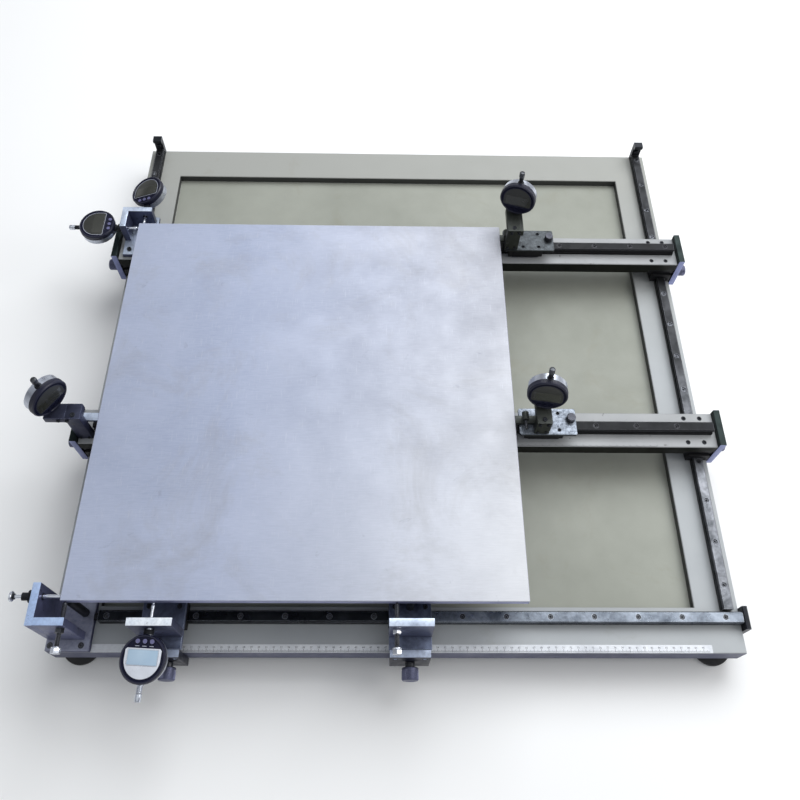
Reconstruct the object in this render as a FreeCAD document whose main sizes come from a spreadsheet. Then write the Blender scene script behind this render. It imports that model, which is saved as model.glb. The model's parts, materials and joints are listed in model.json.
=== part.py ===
"""Edge and squareness gauge table for flat plates, as a parametric FreeCAD document.

A flat base stands on four levelling feet and carries three guide rails.  Two brackets slide
along the front rail and two cross beams slide along the side rails, each beam with a carriage
of its own.  Six digital indicators and two fixed stops meet the edges of a square standard
plate that lies on support posts.

Every length is in millimetres.  The pieces are laid out in the table's own frame: x from the
base's left edge, y from its front edge, z from its top face.  Each finished sub-part is then
moved by one common offset, so that the model's origin lies on the floor under its middle.
"""
import FreeCAD
import Part
import math
import os
import re
import Sketcher
from FreeCAD import Placement, Rotation, Vector

DIMENSIONS = {
    # place of the table's frame in the model
    "middle_along": 446.6, "middle_across": 413.2, "top_height": 61.5,
    # base and feet
    "base_width": 940.0, "base_depth": 888.0, "base_height": 39.0,
    "recess_left": 61.0, "recess_front": 59.0, "recess_width": 818.0,
    "recess_depth": 767.0, "recess_drop": 14.0,
    "foot_side": 28.0, "foot_front": 20.0, "foot_radius": 27.0, "foot_pad": 12.0,
    "stud_radius": 6.0, "stud_top": 25.0, "nut_flats": 19.0, "nut_height": 8.0,
    # guide rails and their blocks
    "rail_width": 15.0, "rail_height": 15.0, "rail_pitch": 60.0, "bore_radius": 3.75,
    "bore_deep": 5.3, "hole_radius": 2.25, "side_rail_left": 18.5, "side_rail_right": 921.5,
    "front_rail_y": 43.5, "front_rail_start": 64.0, "front_rail_end": 939.0,
    "left_rail_start": 68.0, "right_rail_start": 54.0, "side_rail_end": 879.0,
    "block_length": 57.0, "block_width": 34.0, "block_bottom": 4.5, "block_top": 24.0,
    "channel_gap": 0.35,
    # corner bracket at the front left
    "corner_width": 58.0, "corner_depth": 66.0, "corner_thick": 10.0, "wall_thick": 10.0,
    "wall_top": 102.0, "corner_wall_x": 2.0, "wall_y": 14.0, "corner_wall_end": 50.0,
    "corner_stop_x": 42.0, "plunger_y": 52.0, "post_x": 45.0, "post_y": 48.0,
    "post_radius": 5.5,
    # standard plate
    "plate_x": 36.0, "plate_y": 46.0, "plate_side": 600.0, "plate_bottom": 80.0,
    "plate_thick": 12.0, "touch_height": 86.0, "touch_gap": 0.3,
    # front brackets
    "left_bracket_x": 127.0, "right_bracket_x": 455.0, "bracket_width": 57.0,
    "shelf_thick": 8.0, "apron_gap": 1.0, "apron_thick": 10.0, "apron_bottom": -35.0,
    "knob_height": -6.0, "left_knob_offset": 35.0, "right_knob_offset": 29.0,
    "stop_offset": 10.0, "stop_radius": 3.0,
    # cross beams
    "beam_bottom": 28.0, "beam_top": 53.0, "beam_width": 54.0, "front_beam_y": 300.0,
    "rear_beam_y": 626.5, "beam_overhang": 0.5, "notch_top": 36.0, "notch_length": 45.0,
    "end_plate_thick": 10.0, "end_plate_top": 62.0, "end_plate_bottom": -8.0,
    "end_plate_width": 56.0, "end_knob_height": -3.0,
    # carriages on the beams, their brackets and levers
    "carriage_x": 643.0, "carriage_length": 84.0, "carriage_width": 41.0,
    "carriage_plate": 4.5, "post_width": 22.0, "post_thick": 11.0, "post_front": 19.0,
    "lever_width": 12.0, "lever_bottom": 83.5, "lever_top": 88.3, "hub_radius": 5.0,
    "pin_radius": 2.0,
    # digital indicators
    "bezel_radius": 28.5, "case_radius": 27.5, "bezel_front": 11.0, "bezel_back": 2.0,
    "case_back": 9.0, "stem_radius": 4.0, "stem_end": 47.0, "spindle_radius": 2.0,
    "tube_end": 38.0, "cap_end": 48.0, "fit_gap": 0.05, "button_radius": 2.6,
}

doc = FreeCAD.newDocument("gauge_table")
sheet = doc.addObject("Spreadsheet::Sheet", "dims")
for row, (alias, value) in enumerate(DIMENSIONS.items(), start=1):
    sheet.set(f"A{row}", alias)
    sheet.set(f"B{row}", str(value))
    sheet.setAlias(f"B{row}", alias)
doc.recompute()

OFFSET = ("-middle_along", "-middle_across", "top_height")
AXIS_TURN = {
    "x": Rotation(Vector(0, 1, 0), 90),
    "y": Rotation(Vector(1, 0, 0), -90),
    "z": Rotation(),
}
PLANE_ROLE = {"xy": "XY_Plane", "xz": "XZ_Plane", "yz": "YZ_Plane"}
subparts = []


# ---------------------------------------------------------------- small helpers
def linked(text):
    """Turn aliases in an expression into references to the sheet's cells."""
    return re.sub(r"[a-z_]+", lambda word: word.group() if word.group() not in DIMENSIONS
                  else "dims." + word.group(), str(text))


def bind(feature, prop, text):
    feature.setExpression(prop, linked(text))


def bind_place(feature, place):
    for letter, text in zip("xyz", place):
        bind(feature, f"Placement.Base.{letter}", text)


def box(size, corner):
    """A block with its lowest corner at the given place."""
    solid = doc.addObject("Part::Box", "block")
    for prop, text in zip(("Length", "Width", "Height"), size):
        bind(solid, prop, text)
    bind_place(solid, corner)
    return solid


def rod(radius, length, start, axis="z"):
    """A round bar that runs from start along one axis."""
    solid = doc.addObject("Part::Cylinder", "rod")
    bind(solid, "Radius", radius)
    bind(solid, "Height", length)
    solid.Placement = Placement(Vector(), AXIS_TURN[axis])
    bind_place(solid, start)
    return solid


def cone(radius, end_radius, length, start, axis="z"):
    solid = doc.addObject("Part::Cone", "cone")
    bind(solid, "Radius1", radius)
    bind(solid, "Radius2", end_radius)
    bind(solid, "Height", length)
    solid.Placement = Placement(Vector(), AXIS_TURN[axis])
    bind_place(solid, start)
    return solid


def hexagon(flats, length, start, axis="z"):
    """A six-sided bar, for nuts and for the sockets of screws."""
    solid = doc.addObject("Part::Prism", "hexagon")
    solid.Polygon = 6
    bind(solid, "Circumradius", f"({flats}) / sqrt(3)")
    bind(solid, "Height", length)
    solid.Placement = Placement(Vector(), AXIS_TURN[axis])
    bind_place(solid, start)
    return solid


def fuse(*solids):
    joined = doc.addObject("Part::MultiFuse", "joined")
    joined.Shapes = list(solids)
    joined.Refine = True
    return joined


def cut(base, *tools):
    result = doc.addObject("Part::Cut", "cut")
    result.Base = base
    result.Tool = tools[0] if len(tools) == 1 else fuse(*tools)
    return result


def group(*solids):
    """Several separate solids kept as one sub-part."""
    bundle = doc.addObject("Part::Compound", "bundle")
    bundle.Links = list(solids)
    return bundle


def chamfer(base, size, keep=lambda edge: True):
    """Break the straight edges that keep() accepts."""
    doc.recompute()
    edges = [number for number, edge in enumerate(base.Shape.Edges, start=1)
             if edge.Curve.TypeId == "Part::GeomLine" and keep(edge)]
    broken = doc.addObject("Part::Chamfer", "broken_edges")
    broken.Base = base
    broken.Edges = [(number, size, size) for number in edges]
    return broken


def along(letter):
    """Accept the edges that run along one axis."""
    index = "xyz".index(letter)
    return lambda edge: abs(edge.tangentAt(edge.FirstParameter)[index]) > 0.999


def finish(label, feature, place=OFFSET):
    """Name a finished sub-part and move it into the model's frame."""
    feature.Label = label
    bind_place(feature, place)
    subparts.append(feature)
    return feature


def lay(feature, place, turn=0):
    """Turn a piece about z and put its own origin at a place on the table."""
    feature.Placement = Placement(Vector(), Rotation(Vector(0, 0, 1), turn))
    bind_place(feature, place)
    return feature


def new_sketch(body, plane, lift=None):
    origin_plane = next(item for item in body.Origin.OriginFeatures
                        if item.Role == PLANE_ROLE[plane])
    sketch = body.newObject("Sketcher::SketchObject", "outline")
    sketch.AttachmentSupport = (origin_plane, [""])
    sketch.MapMode = "FlatFace"
    if lift is not None:
        bind(sketch, "AttachmentOffset.Base.z", lift)
    return sketch


def pin_point(sketch, geometry, point, place):
    """Hold one point of a sketch at a place given by two expressions."""
    for kind, text in zip(("DistanceX", "DistanceY"), place):
        number = sketch.addConstraint(
            Sketcher.Constraint(kind, -1, 1, geometry, point, 1.0))
        bind(sketch, f"Constraints[{number}]", text)


def draw_polygon(sketch, corners):
    """A closed outline whose corners are pairs of expressions."""
    count = len(corners)
    rough = [Vector(9 * math.cos(2 * math.pi * step / count),
                    9 * math.sin(2 * math.pi * step / count), 0) for step in range(count)]
    for step in range(count):
        sketch.addGeometry(Part.LineSegment(rough[step], rough[(step + 1) % count]), False)
    for step in range(count):
        sketch.addConstraint(Sketcher.Constraint("Coincident", step, 2, (step + 1) % count, 1))
    for step, corner in enumerate(corners):
        pin_point(sketch, step, 1, corner)


def draw_circle(sketch, centre, radius):
    number = sketch.addGeometry(Part.Circle(Vector(), Vector(0, 0, 1), 1.0), False)
    pin_point(sketch, number, 3, centre)
    constraint = sketch.addConstraint(Sketcher.Constraint("Radius", number, 1.0))
    bind(sketch, f"Constraints[{constraint}]", radius)


def add_pad(body, sketch, length, midplane=False):
    pad = body.newObject("PartDesign::Pad", "pad")
    pad.Profile = sketch
    bind(pad, "Length", length)
    pad.Midplane = midplane
    return pad


def add_pocket(body, sketch, depth):
    pocket = body.newObject("PartDesign::Pocket", "pocket")
    pocket.Profile = sketch
    bind(pocket, "Length", depth)
    return pocket


def turned(corners):
    """A piece turned on a lathe: half outline as radius and height pairs, about z."""
    body = doc.addObject("PartDesign::Body", "turned")
    sketch = new_sketch(body, "xz")
    draw_polygon(sketch, corners)
    revolution = body.newObject("PartDesign::Revolution", "revolution")
    revolution.Profile = sketch
    revolution.ReferenceAxis = (sketch, ["V_Axis"])
    revolution.Angle = 360
    return body


def flute(body, radius, groove, start, length, count):
    """Cut grooves round a turned piece, for a knurled grip."""
    doc.recompute()
    before = body.Shape.Volume
    sketch = new_sketch(body, "xy", f"{start} + {length}")
    draw_circle(sketch, (radius, "0"), groove)
    pocket = add_pocket(body, sketch, length)
    doc.recompute()
    if pocket.Shape.Volume >= before:
        raise RuntimeError("the groove cuts nothing")
    pattern = body.newObject("PartDesign::PolarPattern", "grip")
    pattern.Originals = [pocket]
    pattern.Axis = (sketch, ["N_Axis"])
    pattern.Angle = 360
    pattern.Occurrences = count
    body.Tip = pattern
    return body


# ---------------------------------------------------------------- table
FOOT_PLACES = {
    "front_left": ("foot_side", "foot_front"),
    "front_right": ("base_width - foot_side", "foot_front"),
    "rear_left": ("foot_side", "base_depth - foot_front"),
    "rear_right": ("base_width - foot_side", "base_depth - foot_front"),
}


def base_plate():
    body = doc.addObject("PartDesign::Body", "base")
    outline = new_sketch(body, "xy", "-base_height")
    draw_polygon(outline, [("0", "0"), ("base_width", "0"), ("base_width", "base_depth"),
                           ("0", "base_depth")])
    add_pad(body, outline, "base_height")
    recess = new_sketch(body, "xy")
    right = "recess_left + recess_width"
    back = "recess_front + recess_depth"
    draw_polygon(recess, [("recess_left", "recess_front"), (right, "recess_front"),
                          (right, back), ("recess_left", back)])
    add_pocket(body, recess, "recess_drop")
    feet = new_sketch(body, "xy", "stud_top - base_height")
    for place in FOOT_PLACES.values():
        draw_circle(feet, place, "stud_radius + fit_gap")
    bored = add_pocket(body, feet, "stud_top")
    doc.recompute()
    corners = [f"Edge{number}" for number, edge in enumerate(bored.Shape.Edges, start=1)
               if edge.Curve.TypeId == "Part::GeomLine" and edge.BoundBox.ZMin > -0.01]
    rim = body.newObject("PartDesign::Chamfer", "rim")
    rim.Base = (bored, corners)
    rim.Size = 1.0
    body.Tip = rim
    finish("base_plate", body)


def rail(length, first_hole, holes):
    """A profile rail along x, with counterbored holes; its foot lies on z = 0."""
    body = doc.addObject("PartDesign::Body", "rail")
    profile = new_sketch(body, "yz")
    half = "rail_width / 2"
    draw_polygon(profile, [
        (f"-{half}", "0"), (half, "0"), (half, "rail_height * 0.35"),
        (f"{half} - 1.6", "rail_height * 0.5"), (f"{half} - 1.6", "rail_height * 0.65"),
        (half, "rail_height * 0.8"), (half, "rail_height - 1.5"),
        (f"{half} - 1.5", "rail_height"), (f"1.5 - {half}", "rail_height"),
        (f"-{half}", "rail_height - 1.5"), (f"-{half}", "rail_height * 0.8"),
        (f"1.6 - {half}", "rail_height * 0.65"), (f"1.6 - {half}", "rail_height * 0.5"),
        (f"-{half}", "rail_height * 0.35")])
    add_pad(body, profile, length)
    cuts = []
    for radius, depth in (("bore_radius", "bore_deep"), ("hole_radius", "rail_height")):
        circle = new_sketch(body, "xy", "rail_height")
        draw_circle(circle, (first_hole, "0"), radius)
        cuts.append(add_pocket(body, circle, depth))
    pattern = body.newObject("PartDesign::LinearPattern", "holes")
    pattern.Originals = cuts
    pattern.Direction = (cuts[0].Profile[0], ["H_Axis"])
    bind(pattern, "Length", f"rail_pitch * {holes - 1}")
    pattern.Occurrences = holes
    body.Tip = pattern
    return body


def cap_screw(head_radius, head_height, shank_radius, shank, place):
    """A socket-head screw that points down; place is the middle of its head's underside."""
    across, deep, high = place
    head = rod(head_radius, head_height, place)
    socket = hexagon(f"({head_radius}) * 0.95", f"({head_height}) * 0.6",
                     (across, deep, f"({high}) + ({head_height}) * 0.4"))
    body = rod(shank_radius, shank, (across, deep, f"({high}) - ({shank})"))
    return cut(fuse(head, body), socket)


SCREW_HEAD = ("bore_radius - 0.25", "bore_deep - 1.3", "hole_radius - 0.25", "8")


def rail_screws(start, step_x, step_y, holes, floor="0"):
    """Screws in the counterbores of one rail."""
    under_head = f"{floor} + rail_height - bore_deep"
    return [cap_screw(*SCREW_HEAD, (f"{start[0]} + {step_x * hole} * rail_pitch",
                                    f"{start[1]} + {step_y * hole} * rail_pitch", under_head))
            for hole in range(holes)]


def table_rails():
    front = rail("front_rail_end - front_rail_start", "11", 15)
    lay(front, ("front_rail_start", "front_rail_y", "0"))
    finish("front_rail", group(front))
    left = rail("side_rail_end - left_rail_start", "18", 14)
    lay(left, ("side_rail_left", "left_rail_start", "0"), 90)
    right = rail("side_rail_end - right_rail_start", "32", 14)
    lay(right, ("side_rail_right", "right_rail_start", "0"), 90)
    finish("side_rails", group(left, right))


def end_stops():
    """Upright stops behind the side rails, and the stop and bumper of the front rail."""
    pieces = []
    for middle in ("side_rail_left", "side_rail_right"):
        upright = box(("rail_width", "8", "42"),
                      (f"{middle} - rail_width / 2", "side_rail_end + 0.5", "0"))
        hook = box(("rail_width", "5", "8"),
                   (f"{middle} - rail_width / 2", "side_rail_end - 4", "34"))
        buffer = rod("4", "5", (middle, "side_rail_end - 4", "26"), "y")
        pieces.append(chamfer(fuse(upright, hook, buffer), 0.8, along("x")))
    plate = box(("7", "30", "46"), ("base_width", "28", "-30"))
    pieces.append(chamfer(plate, 1.0, along("y")))
    pieces.append(rod("5", "5", ("corner_width", "front_rail_y", "8"), "x"))
    finish("rail_end_stops", group(*pieces))


def fasteners():
    """Every screw and nut that stays on the table."""
    pieces = rail_screws(("front_rail_start + 11", "front_rail_y"), 1, 0, 15)
    pieces += rail_screws(("side_rail_left", "left_rail_start + 18"), 0, 1, 14)
    pieces += rail_screws(("side_rail_right", "right_rail_start + 32"), 0, 1, 14)
    for place in (("6", "7"), ("47", "7")):
        pieces.append(cap_screw("4", "3.6", "2.4", "6", (*place, "corner_thick - 3.8")))
    for place in FOOT_PLACES.values():
        nut = hexagon("nut_flats", "nut_height", (*place, "-base_height - nut_height"))
        thread = rod("stud_radius + fit_gap", "nut_height + 2",
                     (*place, "-base_height - nut_height - 1"))
        pieces.append(cut(nut, thread))
    pieces.append(lock_nut("corner_stop_x", "wall_y - 6"))
    finish("table_fasteners", group(*pieces))


def lock_nut(across, front):
    nut = hexagon("10", "6", (across, front, "touch_height"), "y")
    thread = rod("stop_radius + fit_gap", "8", (across, f"{front} - 1", "touch_height"), "y")
    return cut(nut, thread)


def steel_ruler():
    strip = box(("835", "10", "0.8"), ("corner_width + 0.5", "0.3", "0"))
    finish("steel_ruler", group(strip))


def levelling_feet():
    for name, place in FOOT_PLACES.items():
        foot = turned([
            ("0", "0"), ("foot_radius - 3", "0"), ("foot_radius", "3"),
            ("foot_radius", "foot_pad * 0.6"), ("foot_radius * 0.6", "foot_pad"),
            ("stud_radius", "foot_pad"), ("stud_radius", "top_height - base_height + stud_top - 2"),
            ("0", "top_height - base_height + stud_top - 2")])
        x_place, y_place = place
        finish(f"levelling_foot_{name}", foot,
               (f"{x_place} - middle_along", f"{y_place} - middle_across", "0"))


# ---------------------------------------------------------------- corner bracket
def stop_screw(label, across):
    """A headed screw along y whose tip meets the plate's front edge."""
    tip = "plate_y - touch_gap"
    shank = rod("stop_radius", f"{tip} + 5", (across, "-6", "touch_height"), "y")
    nose = cone("stop_radius", "1.2", "1", (across, f"{tip} - 1", "touch_height"), "y")
    neck = rod("4", "2", (across, "-8", "touch_height"), "y")
    head = chamfer(hexagon("11", "8", (across, "-16", "touch_height"), "y"), 0.8)
    finish(label, fuse(shank, nose, neck, head))


def corner_bracket():
    foot = box(("corner_width", "corner_depth", "corner_thick"), ("0", "0", "0"))
    sockets = [rod("4.2", "4", (x_place, "7", "corner_thick - 3.8")) for x_place in ("6", "47")]
    shanks = [rod("2.5", "corner_thick", (x_place, "7", "0")) for x_place in ("6", "47")]
    finish("corner_block", cut(chamfer(foot, 1.0), *sockets, *shanks))

    height = "wall_top - corner_thick"
    side = box(("wall_thick", "corner_depth - wall_y", height),
               ("corner_wall_x", "wall_y", "corner_thick"))
    sleeve_hole = rod("5", "20", ("-5", "plunger_y", "touch_height"), "x")
    side = cut(chamfer(side, 0.8), sleeve_hole)
    inner = "corner_wall_x + wall_thick"
    front = box((f"corner_wall_end - {inner}", "wall_thick", height),
                (inner, "wall_y", "corner_thick"))
    screw_hole = rod("stop_radius + fit_gap", "20",
                     ("corner_stop_x", "wall_y - 5", "touch_height"), "y")
    front = cut(chamfer(front, 0.8), screw_hole)
    finish("corner_walls", group(side, front))

    post = support_post("post_x", "post_y", "corner_thick", "post_radius")
    sleeve = fuse(rod("5", f"{inner} + 14", ("-14", "plunger_y", "touch_height"), "x"),
                  rod("8", "7", ("corner_wall_x - 7", "plunger_y", "touch_height"), "x"))
    bore = rod("2.5 + fit_gap", "60", ("-30", "plunger_y", "touch_height"), "x")
    finish("corner_post_and_sleeve", group(post, cut(sleeve, bore)))


def support_post(across, deep, floor, radius="5"):
    """A round post with a blunt top that carries the plate."""
    height = f"plate_bottom - touch_gap - 1.5 - ({floor})"
    shaft = rod(radius, height, (across, deep, floor))
    top = cone(radius, f"{radius} - 1.5", "1.5", (across, deep, f"{floor} + {height}"))
    return fuse(shaft, top)


def corner_plunger():
    """A spring plunger along x whose tip meets the plate's left edge."""
    pin = rod("2.5", "plate_x - touch_gap + 23", ("-24", "plunger_y", "touch_height"), "x")
    tip = cone("2.5", "1", "1", ("plate_x - touch_gap - 1", "plunger_y", "touch_height"), "x")
    head = chamfer(hexagon("12", "7", ("-30", "plunger_y", "touch_height"), "x"), 0.8)
    finish("corner_plunger", fuse(pin, tip, head))


def standard_plate():
    plate = box(("plate_side", "plate_side", "plate_thick"), ("plate_x", "plate_y", "plate_bottom"))
    finish("standard_plate", chamfer(plate, 0.8))


# ---------------------------------------------------------------- blocks and brackets
def guide_block():
    """A guide block astride a rail along x, centred on the rail's foot."""
    body = doc.addObject("PartDesign::Body", "guide_block")
    profile = new_sketch(body, "yz")
    half = "block_width / 2"
    inner = "rail_width / 2 + channel_gap"
    roof = "rail_height + channel_gap"
    draw_polygon(profile, [
        (f"-{half}", "block_bottom"), (f"-({inner})", "block_bottom"), (f"-({inner})", roof),
        (inner, roof), (inner, "block_bottom"), (half, "block_bottom"),
        (half, "block_top - 1.5"), (f"{half} - 1.5", "block_top"),
        (f"1.5 - {half}", "block_top"), (f"-{half}", "block_top - 1.5")])
    add_pad(body, profile, "block_length", midplane=True)
    return body


def front_bracket(side, support):
    """A bracket that slides along the front rail: block, shelf, wall and apron."""
    left = f"{side}_bracket_x"
    middle = f"{left} + bracket_width / 2"
    block = lay(guide_block(), (middle, "front_rail_y", "0"))
    finish(f"{side}_bracket_block", group(block))

    shelf_top = "block_top + shelf_thick"
    back = "front_rail_y + block_width / 2"
    shelf = box(("bracket_width", f"{back} + apron_gap", "shelf_thick"),
                (left, "-apron_gap", "block_top"))
    apron = box(("bracket_width - 3", "apron_thick", f"{shelf_top} - apron_bottom"),
                (f"{left} + 1.5", "-apron_gap - apron_thick", "apron_bottom"))
    wall = box(("bracket_width", "wall_thick", f"wall_top - ({shelf_top})"),
               (left, "wall_y", shelf_top))
    knob_x = f"{left} + {side}_knob_offset"
    knob_hole = rod("4 + fit_gap", "20", (knob_x, "-15", "knob_height"), "y")
    sockets = [rod("3", "5", (f"{left} + {place}", "-12", "20"), "y")
               for place in (9, 48)]
    if support:
        wall_hole = rod("stop_radius + fit_gap", "20",
                        (f"{left} + stop_offset", "wall_y - 5", "touch_height"), "y")
        extra = [support_post(middle, "52", shelf_top),
                 lock_nut(f"{left} + stop_offset", "wall_y - 6")]
    else:
        wall_hole = stem_hole("front")
        extra = []
    pieces = [chamfer(shelf, 0.8), cut(chamfer(apron, 1.0), knob_hole, *sockets),
              cut(chamfer(wall, 1.0), wall_hole)]
    finish(f"{side}_bracket_plates", group(*pieces, *extra))


def clamp_knob(label, place, turn, reach, radius="11.3"):
    """A fluted knob with a clamp screw; the screw's tip lies at its own origin."""
    screw = "4" if radius == "11.3" else "3"
    knob = turned([
        ("0", "0"), (screw, "0"), (screw, reach), ("6.5", reach), ("6.5", f"{reach} + 6"),
        (f"{radius} - 1", f"{reach} + 6"), (radius, f"{reach} + 7"), (radius, f"{reach} + 21"),
        (f"{radius} - 1", f"{reach} + 22"), ("0", f"{reach} + 22")])
    flute(knob, radius, "0.7", f"{reach} + 5", "18", 24)
    knob.Placement = Placement(Vector(), turn)
    finish(label, knob, tuple(f"{text} + {shift}" for text, shift in zip(place, OFFSET)))


# ---------------------------------------------------------------- cross beams
def cross_beam(side, rail_start, holes):
    """A beam with its rail, its end plates, and the guide blocks that carry it."""
    middle = f"{side}_beam_y"
    front = f"{middle} - beam_width / 2"
    bar = box(("base_width + 2 * beam_overhang", "beam_width", "beam_top - beam_bottom"),
              ("-beam_overhang", front, "beam_bottom"))
    notch = ("notch_length + 1", "beam_width + 2", "notch_top - beam_bottom + 1")
    low = "beam_bottom - 1"
    left_notch = box(notch, ("-beam_overhang - 1", f"{front} - 1", low))
    right_notch = box(notch, ("base_width + beam_overhang - notch_length", f"{front} - 1", low))
    holes_at = [(x_place, y_shift) for x_place in ("897", "921") for y_shift in ("-19", "19")]
    sockets = [rod("3.4", "5", (x_place, f"{middle} + {y_shift}", "beam_top - 4"))
               for x_place, y_shift in holes_at]
    finish(f"{side}_beam", cut(chamfer(bar, 1.0), left_notch, right_notch, *sockets))

    beam_rail = rail(f"base_width - 6 - {rail_start}", "17", holes)
    lay(beam_rail, (rail_start, middle, "beam_top"))
    screws = rail_screws((f"{rail_start} + 17", middle), 1, 0, holes, "beam_top")
    finish(f"{side}_beam_rail", group(beam_rail, *screws))

    pieces = []
    for rail_x, saddle_x in (("side_rail_left", "0"),
                             ("side_rail_right", "base_width - notch_length + 0.5")):
        pieces.append(lay(guide_block(), (rail_x, middle, "0"), 90))
        pieces.append(box(("notch_length - 0.5", "beam_width - 4", "notch_top - block_top"),
                          (saddle_x, f"{front} + 2", "block_top")))
    height = "end_plate_top - end_plate_bottom"
    for plate_x in ("-beam_overhang - end_plate_thick", "base_width + beam_overhang"):
        plate = box(("end_plate_thick", "end_plate_width", height),
                    (plate_x, front, "end_plate_bottom"))
        hole = rod("3 + fit_gap", "20", (f"{plate_x} - 5", middle, "end_knob_height"), "x")
        pieces.append(cut(chamfer(plate, 1.0), hole))
    finish(f"{side}_beam_end_fittings", group(*pieces))

    reach = "end_plate_thick + beam_overhang"
    clamp_knob(f"{side}_beam_knob_left", ("-touch_gap", middle, "end_knob_height"),
               Rotation(Vector(0, 1, 0), -90), reach, "9.5")
    clamp_knob(f"{side}_beam_knob_right", ("base_width + touch_gap", middle, "end_knob_height"),
               Rotation(Vector(0, 1, 0), 90), reach, "9.5")


# ---------------------------------------------------------------- digital indicators
# middle of the dial, turn about z, lean, spin about the spindle (degrees), tip distance
INDICATORS = {
    "front": {"middle": (150.7, -20.6, 76.7), "turns": (-3.0, 98.0, 180.0), "tip": 67.0},
    "left": {"middle": (-31.3, 640.0, 86.0), "turns": (90.0, -90.0, 0.0), "tip": 67.0},
    "back": {"middle": (42.0, 713.3, 86.0), "turns": (0.0, -90.0, -22.0), "tip": 67.0},
    "beam_end": {"middle": (-20.0, 302.0, 155.0), "turns": (0.0, 0.0, 55.0), "tip": 62.0},
    "front_beam": {"middle": (675.3, 317.0, 150.0), "turns": (0.0, -12.0, -9.0), "tip": 62.0},
    "rear_beam": {"middle": (659.6, 653.5, 165.0), "turns": (0.0, -12.0, -20.0), "tip": 62.0},
}


def indicator_turn(name):
    """How an upright indicator that faces the front is turned into its place."""
    about_z, lean, spin = INDICATORS[name]["turns"]
    return (Rotation(Vector(0, 0, 1), about_z) * Rotation(Vector(1, 0, 0), lean)
            * Rotation(Vector(0, 0, 1), spin))


def place_indicator_piece(label, feature, name):
    feature.Placement = Placement(Vector(), indicator_turn(name))
    middle = INDICATORS[name]["middle"]
    finish(label, feature, tuple(f"{text} + {shift}" for text, shift in zip(middle, OFFSET)))


def stem_hole(name, gap=0.0):
    """The space that an indicator's stem takes in the bracket that holds it."""
    hole = doc.addObject("Part::Cylinder", "stem_hole")
    bind(hole, "Radius", f"stem_radius + {gap}")
    hole.Height = 60
    turn = indicator_turn(name)
    hole.Placement = Placement(Vector(*INDICATORS[name]["middle"])
                               + turn.multVec(Vector(0, 0, -75)), turn)
    return hole


def indicator_case():
    """Housing with its stem and cap tube, a circuit board and a coin cell inside it."""
    shell = fuse(rod("bezel_radius", "bezel_front - bezel_back", ("0", "-bezel_front", "0"), "y"),
                 rod("case_radius", "case_back + bezel_back", ("0", "-bezel_back", "0"), "y"),
                 rod("stem_radius", "stem_end - 20", ("0", "0", "-stem_end")),
                 rod("3.5", "tube_end - 20", ("0", "0", "20")))
    hollow = rod("case_radius - 3", "12", ("0", "-6", "0"), "y")
    window = rod("case_radius - 2", "2", ("0", "-bezel_front - 1", "0"), "y")
    bore = rod("spindle_radius + fit_gap", "120", ("0", "0", "-60"))
    wells = [rod("button_radius + 0.3", "3", (place, "-bezel_front - 0.5", "-20.5"), "y")
             for place in ("-9", "0", "9")]
    shell = cut(shell, hollow, window, bore, *wells)
    board = rod("23", "1.6", ("0", "-6", "0"), "y")
    cell = rod("10", "2.6", ("0", "3.4", "4"), "y")
    return group(shell, board, cell)


def indicator_spindle(tip):
    """Spindle with its lifting cap and ball point; tip is the point's distance."""
    shaft = rod("spindle_radius", f"{tip} - 6 + tube_end + 1", ("0", "0", f"6 - {tip}"))
    holder = rod("2.4", "5", ("0", "0", f"3 - {tip}"))
    taper = cone("1.2", "2.4", "2", ("0", "0", f"1.2 - {tip}"))
    ball = doc.addObject("Part::Sphere", "ball")
    ball.Radius = 1.5
    bind_place(ball, ("0", "0", f"1.5 - {tip}"))
    cap = rod("4.2", "cap_end - tube_end - 0.3", ("0", "0", "tube_end + 0.3"))
    return fuse(shaft, holder, taper, ball, cap)


def indicators():
    for name, entry in INDICATORS.items():
        place_indicator_piece(f"{name}_indicator_case", indicator_case(), name)
        place_indicator_piece(f"{name}_indicator_spindle", indicator_spindle(entry["tip"]), name)
        buttons = [rod("button_radius", "2.2", (place, "-bezel_front - 0.6", "-20.5"), "y")
                   for place in ("-9", "0", "9")]
        place_indicator_piece(f"{name}_indicator_buttons", group(*buttons), name)


# ---------------------------------------------------------------- indicator brackets
def lever_bracket(post_x, floor, name, reach):
    """An upright post whose lug grips an indicator's stem and whose pin carries a lever."""
    beam = "front_beam_y" if name != "rear_beam" else "rear_beam_y"
    dial_x, dial_y, dial_z = INDICATORS[name]["middle"]
    lug_low = dial_z - 45
    post_y = f"{beam} - post_front"
    post = box(("post_width", "post_thick", f"{lug_low + 13} - ({floor})"),
               (post_x, post_y, floor))
    lug_left = min(reach[0], dial_x - 9)
    lug_right = max(reach[1], dial_x + 9)
    lug = box((f"{lug_right - lug_left}", f"{dial_y} + 2 - ({post_y})", "13"),
              (f"{lug_left}", post_y, f"{lug_low}"))
    pivot_x, pivot_z = LEVERS[name]["pivot"]
    pin = rod("pin_radius", "post_front + 5.5", (f"{pivot_x}", f"{post_y} + 1", f"{pivot_z}"), "y")
    body = fuse(chamfer(fuse(post, lug), 0.8, along("z")), pin)
    return cut(body, stem_hole(name))


# pivot (x, z), the nose that meets the plate's edge, and the height under the spindle
LEVERS = {
    "beam_end": {"pivot": (8.0, 104.0), "nose": 35.7, "arm": (-25.0, 92.7)},
    "front_beam": {"pivot": (650.0, 100.0), "nose": 636.3, "arm": (681.0, 89.0)},
    "rear_beam": {"pivot": (646.0, 100.0), "nose": 636.3, "arm": (665.0, 104.0)},
}


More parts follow.
